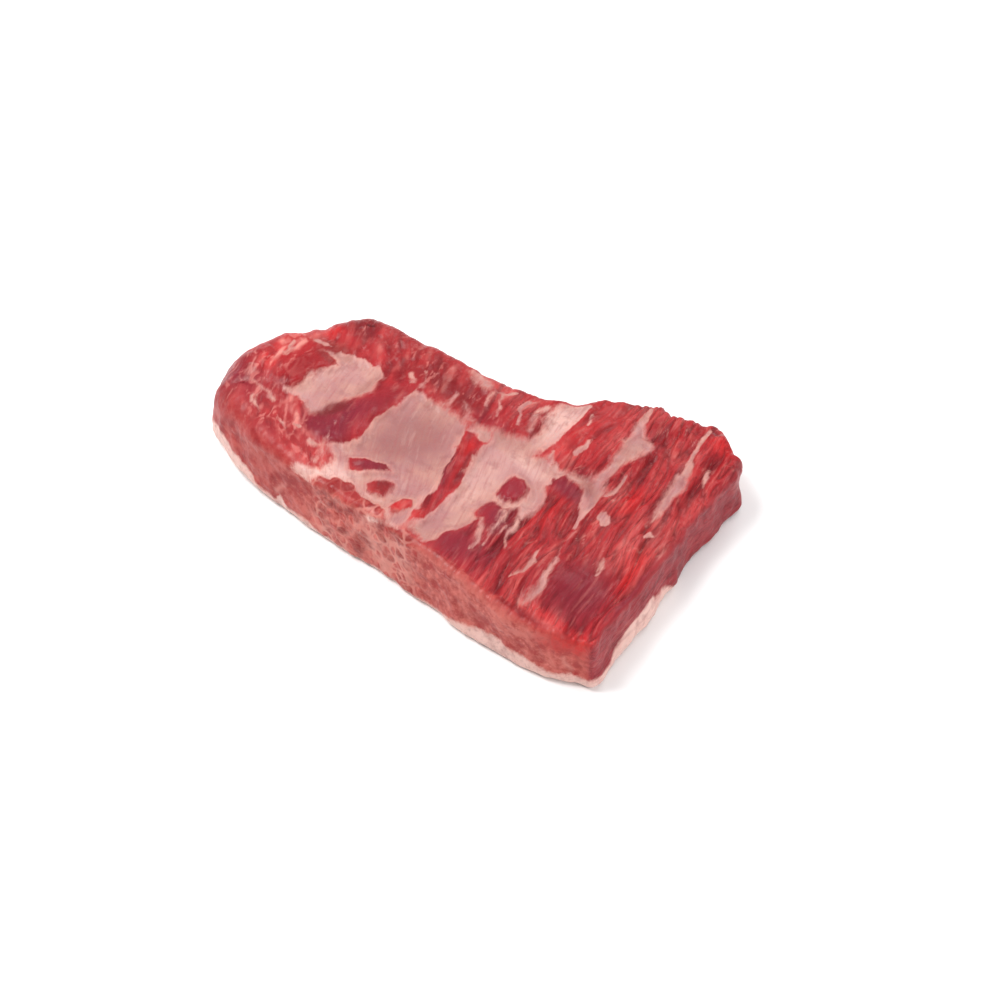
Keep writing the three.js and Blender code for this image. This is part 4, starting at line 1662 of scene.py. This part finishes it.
@dataclass(frozen=True)
class MuscleBundles:
    """Round bundles of muscle seen end on, with soft fat between them."""

    bend: Cloud = Cloud(1.1, 1.0)
    bend_reach: Point3 = (0.7, 0.7, 0.7)
    random: float = 0.9
    patches: Cloud = Cloud(0.4, 1.5)
    patches_show: Span = (0.44, 0.6)
    patch_width: Point = (0.6, 0.8)
    patch_show: Point = (0.8, 0.2)
    fray: Cloud = Cloud(3.0, 1.5, 0.6)
    fray_reach: float = 0.12
    corner: Span = (0.35, 0.75)
    corner_reach: float = 0.13
    gap_from: float = -0.06
    rise: Span = (0.06, 0.4)

    def build(self) -> EffectGroup:
        """Build the effect, with the size of a bundle and the width of a gap by that size."""
        inputs = {"Place": ORIGIN, "Size": 8.0, "Gap": 0.12}
        effect = EffectGroup("muscle bundles", inputs, ("Gap", "Shade", "Height"))
        g, given = effect.graph, effect.inputs
        place = g.shrunk(given["Place"], given["Size"])
        cells = {"Vector": g.bent(place, self.bend, self.bend_reach), "Scale": 1.0, "Randomness": self.random}
        border = g.node("ShaderNodeTexVoronoi", cells, feature="DISTANCE_TO_EDGE").outputs["Distance"]
        cell = g.node("ShaderNodeTexVoronoi", cells).outputs
        patch = g.ease(g.noise(place, self.patches), *self.patches_show)
        width = g.times(given["Gap"], g.line(patch, *self.patch_width))
        fray = g.line(g.noise(place, self.fray), self.fray_reach, -self.fray_reach / 2)
        corners = g.times(g.ease(cell["Distance"], *self.corner), self.corner_reach)
        away = g.math("SUBTRACT", g.math("ADD", border, fray), corners)
        gap = g.ease(away, self.gap_from, width, 1.0, 0.0)
        effect.give("Gap", g.times(gap, g.line(patch, *self.patch_show)))
        effect.give("Shade", g.node("ShaderNodeSeparateColor", {0: cell["Color"]}).outputs[0])
        effect.give("Height", g.ease(away, *self.rise))
        return effect


@dataclass(frozen=True)
class TornMembranes:
    """Thin pale membranes crumpled over the lean, as broken lines, short flecks and folds."""

    bend: Cloud = Cloud(0.8, 2.0)
    bend_reach: Point3 = (0.9, 0.7, 0.7)
    sheet: Cloud = Cloud(1.0, 1.0)
    line: Span = (0.07, 0.0)
    gaps: Cloud = Cloud(1.6, 2.0)
    gaps_show: Span = (0.42, 0.62)
    flecks: Cloud = Cloud(2.4, 2.0, 0.55)
    flecks_show: Span = (0.54, 0.72)
    fold_slope: float = 4.0

    def build(self) -> EffectGroup:
        """Build the effect, with the size of a membrane and its length by its width."""
        inputs = {"Fibre": ORIGIN, "Size": 12.0, "Stretch": 2.0}
        effect = EffectGroup("torn membranes", inputs, ("Lines", "Flecks", "Folds"))
        g, given = effect.graph, effect.inputs
        place = g.shrunk_along(given["Fibre"], given["Size"], given["Stretch"])
        moved = g.bent(place, self.bend, self.bend_reach)
        crease = g.math("ABSOLUTE", g.math("SUBTRACT", g.noise(moved, self.sheet), 0.5))
        broken = g.ease(g.noise(place, self.gaps), *self.gaps_show)
        effect.give("Lines", g.times(g.ease(crease, *self.line), broken))
        effect.give("Flecks", g.ease(g.noise(moved, self.flecks), *self.flecks_show))
        effect.give("Folds", g.times(crease, self.fold_slope, clamp=True))
        return effect


@dataclass(frozen=True)
class RaggedBorder:
    """A torn border, from a distance to it in millimetres."""

    wide: Cloud = Cloud(0.28, 2.0, 0.6)
    wide_reach: float = 2.4
    fine: Cloud = Cloud(0.9, 2.0, 0.6)
    fine_reach: float = 1.6

    def build(self) -> EffectGroup:
        """Build the effect, with how ragged and how soft the border is."""
        inputs = {"Edge": 0.0, "Place": ORIGIN, "Ragged": 1.5, "Soft": 0.7}
        effect = EffectGroup("ragged border", inputs, ("Mask", "Depth"))
        g, given = effect.graph, effect.inputs
        wide, fine = (
            g.times(g.math("SUBTRACT", g.noise(given["Place"], cloud), 0.5), reach)
            for cloud, reach in ((self.wide, self.wide_reach), (self.fine, self.fine_reach))
        )
        depth = g.line(g.math("ADD", wide, fine), given["Ragged"], given["Edge"])
        effect.give("Mask", g.ease(depth, g.times(given["Soft"], -1.0), given["Soft"]))
        effect.give("Depth", depth)
        return effect


@dataclass(frozen=True)
class Grains:
    """The outputs of the effects in the finish, by name.

    Attributes:
        strand: The strand grain.
        cut: The cut grain.
        bundle: The muscle bundles.
        torn: The torn membranes.
        mat: The same effect at a finer size, where the rim is matted.
    """

    strand: Masks
    cut: Masks
    bundle: Masks
    torn: Masks
    mat: Masks


@dataclass(frozen=True)
class LeanFinish:
    """Colours of the lean, in the order that they are laid in."""

    red: Colour = Paint.RED
    deep: Layer = Layer(Paint.DEEP, 1.0, (0.0, -1.1))
    light: Layer = Layer(srgb(188, 72, 70), 0.75, (0.1, 1.5))
    pink: Layer = Layer(srgb(202, 98, 94), 0.7)
    bright: Layer = Layer(Paint.BRIGHT, 0.75)
    brown: Layer = Layer(srgb(114, 38, 34), 0.7)
    dark: Layer = Layer(Paint.DEEP, 0.7)
    purple: Layer = Layer(srgb(116, 27, 45), 0.75)
    grain_shade: float = 0.2
    grain_shows: Span = (0.3, 0.7)
    salmon: Colour = srgb(196, 102, 92)
    salmon_deep: Colour = srgb(158, 56, 52)
    cut_pale: Layer = Layer(Paint.PALE, 0.5, (0.56, 0.7))
    cut_red: Layer = Layer(Paint.RED, 0.45, (-0.1, -1.3))
    cut_bright: Layer = Layer(Paint.BRIGHT, 0.8, (0.4, 0.6))
    bundle_shade: Point = (0.34, 0.76)
    # Painted shade: where the strand grain is low, and in the hollows that the mesh marks, the lean is
    # painted darker.
    groove: Layer = Layer(srgb(80, 8, 14), 0.45, (0.30, 0.02))
    groove_share: float = 0.6
    # Painted highlight: the high parts of the strand grain are painted paler.
    ridge: Layer = Layer(Paint.PALE, 0.24, (0.5, 0.95))
    # Painted shade: the creases of the crumpled membranes are painted darker beside their pale lines.
    fold: Layer = Layer(Paint.DEEP, 0.4, (0.75, 0.2))
    fleck_share: float = 0.7
    line_share: float = 0.6
    membrane: Layer = Layer(Paint.MEMBRANE, 0.75)
    # Painted shade in the creases of the finer, matted membranes.
    mat_fold_shade: Layer = Layer(Paint.DEEP, 0.5, (0.5, 0.1))
    mat_fleck: Layer = Layer(Paint.MEMBRANE, 0.4)

    def cut_colour(self, g: Graph, tone: Masks, cut: Masks) -> Socket:
        """Mix the salmon colour of muscle that is cut across its fibres.

        Args:
            g: The material's tree.
            tone: Values of the mesh by name.
            cut: Outputs of the cut grain.

        Returns:
            The colour.
        """
        grains = g.ease(g.line(tone["shade"], self.grain_shade, cut["Height"]), *self.grain_shows)
        colour = g.mix(grains, self.salmon_deep, self.salmon)
        colour = g.over(colour, self.cut_pale, cut["Height"])
        colour = g.over(colour, self.cut_red, tone["shade"])
        return g.over(colour, self.cut_bright, cut["Height"], tone["bright"])

    def colour(self, g: Graph, tone: Masks, grain: Grains) -> Socket:
        """Mix the lean's colour from its tones and its grain.

        Args:
            g: The material's tree.
            tone: Values of the mesh by name.
            grain: Outputs of the effects.

        Returns:
            The lean's colour.
        """
        colour = g.over(self.red, self.deep, tone["shade"])
        colour = g.over(colour, self.light, tone["shade"])
        for name in ("pink", "bright", "brown", "dark", "purple"):
            colour = g.over(colour, getattr(self, name), tone[name])
        colour = g.mix(tone["salmon"], colour, self.cut_colour(g, tone, grain.cut))

        shade = g.math("SUBTRACT", g.line(grain.bundle["Shade"], *self.bundle_shade), 1.0)
        shade = g.line(shade, tone["bundled"], 1.0)
        grey = g.node("ShaderNodeCombineColor", {0: shade, 1: shade, 2: shade}).outputs[0]
        colour = g.mix(1.0, colour, grey, "MULTIPLY")

        strand, torn, mat = grain.strand["Height"], grain.torn, grain.mat
        # Painted shade in the low parts of the strand grain and in the marked hollows.
        deep = g.times(g.ease(strand, *self.groove.shows), tone["stranded"], self.groove.share)
        deep = g.math("MAXIMUM", deep, g.times(tone["groove"], self.groove_share))
        colour = g.mix(deep, colour, self.groove.colour)
        # Painted highlight on the high parts of the strand grain.
        colour = g.over(colour, self.ridge, strand, tone["stranded"])
        # Painted shade in the membranes' creases.
        colour = g.over(colour, self.fold, torn["Folds"], tone["marbled"])
        flecks = g.times(torn["Flecks"], self.fleck_share)
        flecks = g.math("MAXIMUM", flecks, g.times(torn["Lines"], self.line_share))
        colour = g.over(colour, self.membrane, flecks, tone["marbled"])
        # Painted shade in the creases of the matted membranes.
        colour = g.over(colour, self.mat_fold_shade, mat["Folds"], tone["matted"])
        return g.over(colour, self.mat_fleck, mat["Flecks"], tone["matted"])


@dataclass(frozen=True)
class FatFinish:
    """Colours of the fat, in the order that they are laid in."""

    pink: Colour = srgb(168, 116, 114)
    clouds: Cloud = Cloud(0.05, 2.0, 0.55)
    cream: Layer = Layer(Paint.CREAM, 1.0, (0.35, 0.65))
    dull: Layer = Layer(Paint.DULL, 0.8)
    fresh: Layer = Layer(Paint.FRESH, -0.9)
    thin: Layer = Layer(Paint.THREAD, 0.3, (4.5, 0.5))
    mottles: Cloud = Cloud(0.11, 3.0, 0.6)
    mottle: Layer = Layer(Paint.DULL, 0.4, (0.5, 0.72))
    vein: Layer = Layer(Paint.STAINED, 0.35, (0.5, 1.7))
    light: Layer = Layer(Paint.CREAM, 0.2, (-0.6, -1.7))
    line_scale: Point3 = (0.42, 0.04, 0.42)
    stains: Cloud = Cloud(1.0, 2.5, 0.6)
    stain: Layer = Layer(Paint.STAINED, 0.34, (0.46, 0.72))
    # Painted sheen: faint paler streaks along the fibres.
    painted_sheens: Cloud = Cloud(0.7, 2.0, 0.6)
    painted_sheen: Layer = Layer(Paint.FRESH, 0.12, (0.55, 0.75))
    thread: Layer = Layer(Paint.THREAD, 0.75)
    smudge: Layer = Layer(srgb(104, 26, 30), 0.8)

    def colour(self, g: Graph, tone: Masks, place: Socket, fibre: Socket, depth: Socket) -> Socket:
        """Mix the fat's colour, stained where it is thin.

        Args:
            g: The material's tree.
            tone: Values of the mesh by name.
            place: Place on the slab, in mm.
            fibre: Coordinates along the fibres, in mm.
            depth: Distance inside the fat, in mm.

        Returns:
            The fat's colour.
        """
        lines = g.vector("MULTIPLY", fibre, self.line_scale)
        colour = g.over(self.pink, self.cream, g.noise(place, self.clouds))
        colour = g.over(colour, self.dull, tone["dull"], clamp=True)
        # Paler where dull is below 0: fresh fat on the top, and painted light on the sides.
        colour = g.over(colour, self.fresh, tone["dull"], clamp=True)
        colour = g.over(colour, self.thin, depth)
        colour = g.over(colour, self.mottle, g.noise(place, self.mottles))
        colour = g.over(colour, self.vein, tone["shade"])
        colour = g.over(colour, self.light, tone["shade"])
        colour = g.over(colour, self.stain, g.noise(lines, self.stains))
        # Painted sheen streaks along the fibres.
        return g.over(colour, self.painted_sheen, g.noise(lines, self.painted_sheens))


@dataclass(frozen=True)
class RawMeat:
    """The finish of the whole slab: lean, fat and the moisture on them.

    The sizes of the strands and membranes are their width in mm and their length by that width. How
    ragged and soft a border is, is what haze adds and what a clear border has.
    """

    lean: LeanFinish = LeanFinish()
    fat: FatFinish = FatFinish()
    strand_size: Point = (2.2, 9.0)
    cut_size: float = 3.6
    bundle_size: float = 8.5
    bundle_gap: float = 0.15
    torn_size: Point = (12.0, 2.2)
    mat_size: Point = (9.0, 2.5)
    border_stretch: Point3 = (1.0, 0.3, 1.0)
    ragged: Point = (1.9, 1.3)
    soft: Point = (4.5, 1.0)
    gap_share: float = 0.85
    thread_cover: float = 0.6
    fat_cover: float = 0.85
    lean_height: float = 0.8
    bundle_height: float = 0.6
    fold_height: float = 1.2
    mat_height: float = 0.6
    ripples: Cloud = Cloud(0.35, 2.0)
    ripple_height: float = 0.5
    bump: float = 0.75
    bump_height: float = 0.001
    wet: Cloud = Cloud(0.12, 3.0, 0.6)
    wet_shows: Span = (0.3, 0.7)
    roughness: Span = (0.36, 0.56)
    scatter: float = 0.1
    scatter_radius: Point3 = (1.0, 0.35, 0.25)
    scatter_scale: float = 0.004
    shine: float = 0.18
    film: float = 0.08
    film_roughness: float = 0.2

    def grains(self, g: Graph, place: Socket, fibre: Socket) -> Grains:
        """Place the effects of the lean.

        Args:
            g: The material's tree.
            place: Place on the slab, in mm.
            fibre: Coordinates along the fibres, in mm.

        Returns:
            Their outputs.
        """
        membranes = TornMembranes().build()
        torn, mat = (
            membranes.place(g, Fibre=fibre, Size=size, Stretch=stretch)
            for size, stretch in (self.torn_size, self.mat_size)
        )
        width, stretch = self.strand_size
        return Grains(
            strand=StrandGrain().build().place(g, Fibre=fibre, Width=width, Stretch=stretch),
            cut=CutGrain().build().place(g, Place=place, Size=self.cut_size),
            bundle=MuscleBundles().build().place(g, Place=place, Size=self.bundle_size, Gap=self.bundle_gap),
            torn=torn,
            mat=mat,
        )

    def relief(self, g: Graph, tone: Masks, grain: Grains, place: Socket, fatty: Socket) -> Socket:
        """Work out the height of the fine relief.

        Args:
            g: The material's tree.
            tone: Values of the mesh by name.
            grain: Outputs of the effects.
            place: Place on the slab, in mm.
            fatty: Share of fat and threads.

        Returns:
            The height.
        """
        lean = g.times(g.mix(tone["stranded"], grain.cut["Height"], grain.strand["Height"]), self.lean_height)
        lean = g.line(g.times(grain.bundle["Height"], tone["bundled"]), self.bundle_height, lean)
        mat = g.times(grain.mat["Folds"], tone["matted"], self.mat_height)
        folds = g.math("ADD", g.times(grain.torn["Folds"], tone["marbled"]), mat)
        lean = g.line(folds, self.fold_height, lean)
        ripple = g.times(g.noise(place, self.ripples), self.ripple_height, fatty)
        return g.line(lean, g.line(fatty, -self.fat_cover, 1.0), ripple)

    def build(self, names: Sequence[str]) -> bpy.types.Material:
        """Make the material.

        Args:
            names: Names of the mesh's values.

        Returns:
            The material of the slab.
        """
        material = bpy.data.materials.new(SLOT)
        material.use_nodes = True
        tree = material.node_tree
        tree.nodes.clear()
        g = Graph(tree)
        tone = {name: g.attribute(name).outputs["Fac"] for name in names}
        fibre = g.attribute(FIBRE).outputs["Vector"]
        place = g.vector("MULTIPLY", g.node("ShaderNodeTexCoord").outputs["Object"], (1 / MM, 1 / MM, 1 / MM))
        grain = self.grains(g, place, fibre)
        border = RaggedBorder().build().place(
            g,
            Edge=tone["fat_edge"],
            Place=g.vector("MULTIPLY", fibre, self.border_stretch),
            Soft=g.line(tone["hazy"], *self.soft),
            Ragged=g.line(tone["hazy"], *self.ragged),
        )
        gaps = g.times(grain.bundle["Gap"], tone["bundled"], self.gap_share)
        threads = g.math("MAXIMUM", tone["thread"], gaps)
        fat = self.fat.colour(g, tone, place, fibre, border["Depth"])
        colour = g.over(self.lean.colour(g, tone, grain), self.fat.thread, threads)
        colour = g.mix(border["Mask"], colour, fat)
        colour = g.over(colour, self.fat.smudge, tone["smudge"], clamp=True)
        fatty = g.math("MAXIMUM", border["Mask"], g.times(threads, self.thread_cover))
        height = self.relief(g, tone, grain, place, fatty)
        relief = {"Strength": self.bump, "Distance": self.bump_height, "Height": height}
        bump = g.node("ShaderNodeBump", relief)
        roughness = g.ease(g.noise(place, self.wet), *self.wet_shows, *self.roughness)
        shader = g.node("ShaderNodeBsdfPrincipled", {
            "Base Color": colour, "Roughness": roughness, "Normal": bump.outputs[0],
            "Subsurface Weight": self.scatter, "Subsurface Radius": self.scatter_radius,
            "Subsurface Scale": self.scatter_scale, "Coat Weight": self.film,
            "Coat Roughness": self.film_roughness, "Specular IOR Level": self.shine,
        })
        g.node("ShaderNodeOutputMaterial", {"Surface": shader.outputs[0]})
        return material


@dataclass
class BrisketPiece:
    """The slab as a Blender piece: its mesh, its finish and the spread sheet of its surface."""

    slab: Slab = field(default_factory=Slab)
    finish: RawMeat = field(default_factory=RawMeat)
    name: str = "brisket_slab"
    sheet_width: float = 650.0
    strip_width: float = 80.0
    strip_gap: float = 10.0
    tolerance: float = 1e-6

    def indices(self, levels: int, count: int) -> Array:
        """Number the top's grid, whose border shares the last ring.

        Args:
            levels: Number of rings.
            count: Points in a ring.

        Returns:
            Vertex numbers by long step and cross step.
        """
        long_steps, cross_steps = self.slab.long_steps, self.slab.cross_steps
        last = (levels - 1) * count
        grid = np.zeros((long_steps + 1, cross_steps + 1), int)
        inner = np.arange((long_steps - 1) * (cross_steps - 1)).reshape(long_steps - 1, cross_steps - 1)
        grid[1:-1, 1:-1] = levels * count + inner
        i, j = np.arange(long_steps + 1), np.arange(cross_steps + 1)
        grid[0, :] = last + (2 * long_steps + 2 * cross_steps - j) % count
        grid[:, cross_steps] = last + 2 * long_steps + cross_steps - i
        grid[long_steps, :] = last + long_steps + j
        grid[:, 0] = last + i
        return grid

    def spread(self, places: Array, faces: tuple[Array, Array, Array], count: int) -> Array:
        """Lay the surface out flat: the top, the underside, and the side in two strips.

        Args:
            places: Vertices in plan mm.
            faces: Faces of the side, of the top and of the underside.
            count: Points in a ring.

        Returns:
            One place on the sheet, from 0 to 1, for each face corner.
        """
        sides, top, underside = faces
        low = places.min(0)
        depth = places[:, 1].max() - low[1]
        flat = places[:, :2] - low[:2]
        first = places[:count, :2]
        length = np.concatenate([[0], np.cumsum(np.hypot(*np.diff(np.vstack([first, first[:1]]), axis=0).T))])
        half = length[-1] / 2
        levels = sides.max() // count + 1
        level, spot = np.divmod(sides, count)
        wrapped = np.where((spot == 0) & (spot[:, [0]] == count - 1), count, spot)
        run = length[wrapped]
        second = (run.min(axis=1) >= half - self.tolerance)[:, None]
        start = places[:, 0].max() - low[0] + self.strip_gap
        across = self.strip_width * level / (levels - 1) + (self.strip_width + self.strip_gap) * second
        strips = np.stack([start + across, run - half * second], -1).reshape(-1, 2)
        under = flat[underside] + np.array([0.0, depth + self.strip_gap])
        sheet = np.concatenate([strips, flat[top].reshape(-1, 2), under])
        return sheet / max(sheet.max(), self.sheet_width)

    def faces(self, levels: int, count: int) -> tuple[Array, Array, Array]:
        """List the faces by their vertices.

        Args:
            levels: Number of rings.
            count: Points in a ring.

        Returns:
            The faces of the side, those of the top, and the one of the underside.
        """
        i, n = np.meshgrid(np.arange(count), np.arange(levels - 1))
        after = (i + 1) % count
        ring = np.stack([n * count + i, n * count + after, (n + 1) * count + after, (n + 1) * count + i], -1)
        grid = self.indices(levels, count)
        top = np.stack([grid[:-1, :-1], grid[1:, :-1], grid[1:, 1:], grid[:-1, 1:]], -1)
        return ring.reshape(-1, 4), top.reshape(-1, 4), np.arange(count)[::-1]

    def mesh(self, places: Array, faces: tuple[Array, Array, Array], count: int) -> bpy.types.Mesh:
        """Make the mesh, smooth and with its spread sheet.

        Args:
            places: Vertices in plan mm.
            faces: Faces of the side, of the top and of the underside.
            count: Points in a ring.

        Returns:
            The mesh, in metres.
        """
        sides, top, underside = faces
        mesh = bpy.data.meshes.new(self.name)
        metres = (places - np.array([*PLAN_CENTRE, 0.0])) * MM
        mesh.from_pydata(metres.tolist(), [], [*sides.tolist(), *top.tolist(), underside.tolist()])
        mesh.polygons.foreach_set("use_smooth", np.ones(len(mesh.polygons), bool))
        sheet = self.spread(places, faces, count)
        mesh.uv_layers.new(name="OFBake").data.foreach_set("uv", sheet.astype(np.float32).ravel())
        return mesh

    def build(self) -> bpy.types.Object:
        """Make the piece, dress it and set it in the frame.

        Returns:
            The slab's object.
        """
        slab = self.slab
        ring = slab.outline.ring(slab.long_steps, slab.cross_steps)
        levels, wall = slab.levels(ring)
        inner = slab.sheet(levels[-1])[1:-1, 1:-1].reshape(-1, 3)
        level_count, count = levels.shape[:2]
        places = np.concatenate([levels.reshape(-1, 3), inner])
        outward = np.concatenate([np.tile(ring.outward, (level_count, 1)), np.zeros((len(inner), 2))])
        walls = np.concatenate([np.repeat(wall, count), np.zeros(len(inner))])

        mesh = self.mesh(places, self.faces(level_count, count), count)
        skin_map = SkinMap(slab)
        tones = skin_map.values(skin_map.skin(places, outward, walls))
        for name, values in tones.items():
            mesh.attributes.new(name, "FLOAT", "POINT").data.foreach_set("value", values.astype(np.float32))
        fibre = slab.grain.fibre(*places.T).astype(np.float32)
        mesh.attributes.new(FIBRE, "FLOAT_VECTOR", "POINT").data.foreach_set("vector", fibre.ravel())
        mesh.update()
        mesh.validate()
        mesh.materials.append(self.finish.build(tuple(tones)))

        piece = bpy.data.objects.new(self.name, mesh)
        bpy.context.scene.collection.objects.link(piece)
        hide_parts(NODE)
        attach(piece, BODY)
        LOG.info("%s: %d vertices, %d faces", self.name, len(mesh.vertices), len(mesh.polygons))
        return piece


@dataclass(frozen=True)
class SoftBox:
    """A square soft light that faces the meat.

    Attributes:
        name: The light's name.
        place: Where it hangs, in metres.
        size: Length of its side, in metres.
        power: Its power, in watts.
    """

    name: str
    place: Point3
    size: float
    power: float

    def hang(self) -> None:
        """Hang the light in the scene."""
        data = bpy.data.lights.new(self.name, "AREA")
        data.size = self.size
        data.energy = self.power
        light = bpy.data.objects.new(self.name, data)
        light.location = self.place
        light.rotation_euler = Vector(self.place).to_track_quat("Z", "Y").to_euler()
        bpy.context.scene.collection.objects.link(light)


@dataclass(frozen=True)
class Studio:
    """The floor, the lights and the camera."""

    azimuth: float = 41.0
    elevation: float = 47.0
    distance: float = 1.35
    aim: Point3 = (0.04527, -0.0499, 0.030)
    pixels_per_metre: float = 1360.0
    aim_pixel: Point = (480.0, 512.0)
    frame_pixels: float = 1000.0
    sensor: float = 36.0
    floor_reach: float = 6.0
    floor_grey: float = 0.92
    floor_roughness: float = 0.9
    fill: float = 0.5
    lights: tuple[SoftBox, ...] = (
        SoftBox("key", (-0.75, -0.45, 1.5), 0.9, 28.0),
        SoftBox("back", (-0.1, 1.2, 1.3), 1.0, 11.0),
        SoftBox("side", (1.3, 0.1, 0.7), 0.8, 8.0),
    )

    def camera(self) -> bpy.types.Object:
        """Set the camera at the photograph's viewing angle.

        Returns:
            The camera.
        """
        a, e = np.radians(self.azimuth), np.radians(self.elevation)
        back = Vector((np.sin(a) * np.cos(e), -np.cos(a) * np.cos(e), np.sin(e)))
        data = bpy.data.cameras.new("camera")
        data.sensor_width = self.sensor
        data.lens = self.sensor * self.pixels_per_metre * self.distance / self.frame_pixels
        data.shift_x = (self.frame_pixels / 2 - self.aim_pixel[0]) / self.frame_pixels
        data.shift_y = (self.aim_pixel[1] - self.frame_pixels / 2) / self.frame_pixels
        camera = bpy.data.objects.new("camera", data)
        camera.rotation_euler = back.to_track_quat("Z", "Y").to_euler()
        camera.location = Vector(self.aim) + back * self.distance
        bpy.context.scene.collection.objects.link(camera)
        bpy.context.scene.camera = camera
        return camera

    def floor(self) -> None:
        """Lay a plain pale floor."""
        mesh = bpy.data.meshes.new("floor")
        reach = self.floor_reach
        corners = [(-reach, -reach, 0), (reach, -reach, 0), (reach, reach, 0), (-reach, reach, 0)]
        mesh.from_pydata(corners, [], [(0, 1, 2, 3)])
        floor = bpy.data.objects.new("floor", mesh)
        material = bpy.data.materials.new("floor")
        material.use_nodes = True
        shader = material.node_tree.nodes["Principled BSDF"]
        shader.inputs["Base Color"].default_value = (*[self.floor_grey] * 3, 1)
        shader.inputs["Roughness"].default_value = self.floor_roughness
        mesh.materials.append(material)
        bpy.context.scene.collection.objects.link(floor)

    def light(self) -> None:
        """Light the meat softly from the left and above, and fill the rest from all round."""
        world = bpy.data.worlds.new("studio")
        world.use_nodes = True
        background = world.node_tree.nodes["Background"]
        background.inputs["Color"].default_value = (1, 1, 1, 1)
        background.inputs["Strength"].default_value = self.fill
        bpy.context.scene.world = world
        for light in self.lights:
            light.hang()
        bpy.context.scene.view_settings.view_transform = "Standard"

    def build(self) -> None:
        """Set up the whole studio."""
        self.floor()
        self.light()
        self.camera()
        LOG.info("studio: floor, lights and camera")


def main() -> None:
    """Load the frame, and build the slab and the studio."""
    logging.basicConfig(level=logging.INFO, format="%(name)s %(message)s")
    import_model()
    BrisketPiece().build()
    Studio().build()


if __name__ == "__main__":
    main()
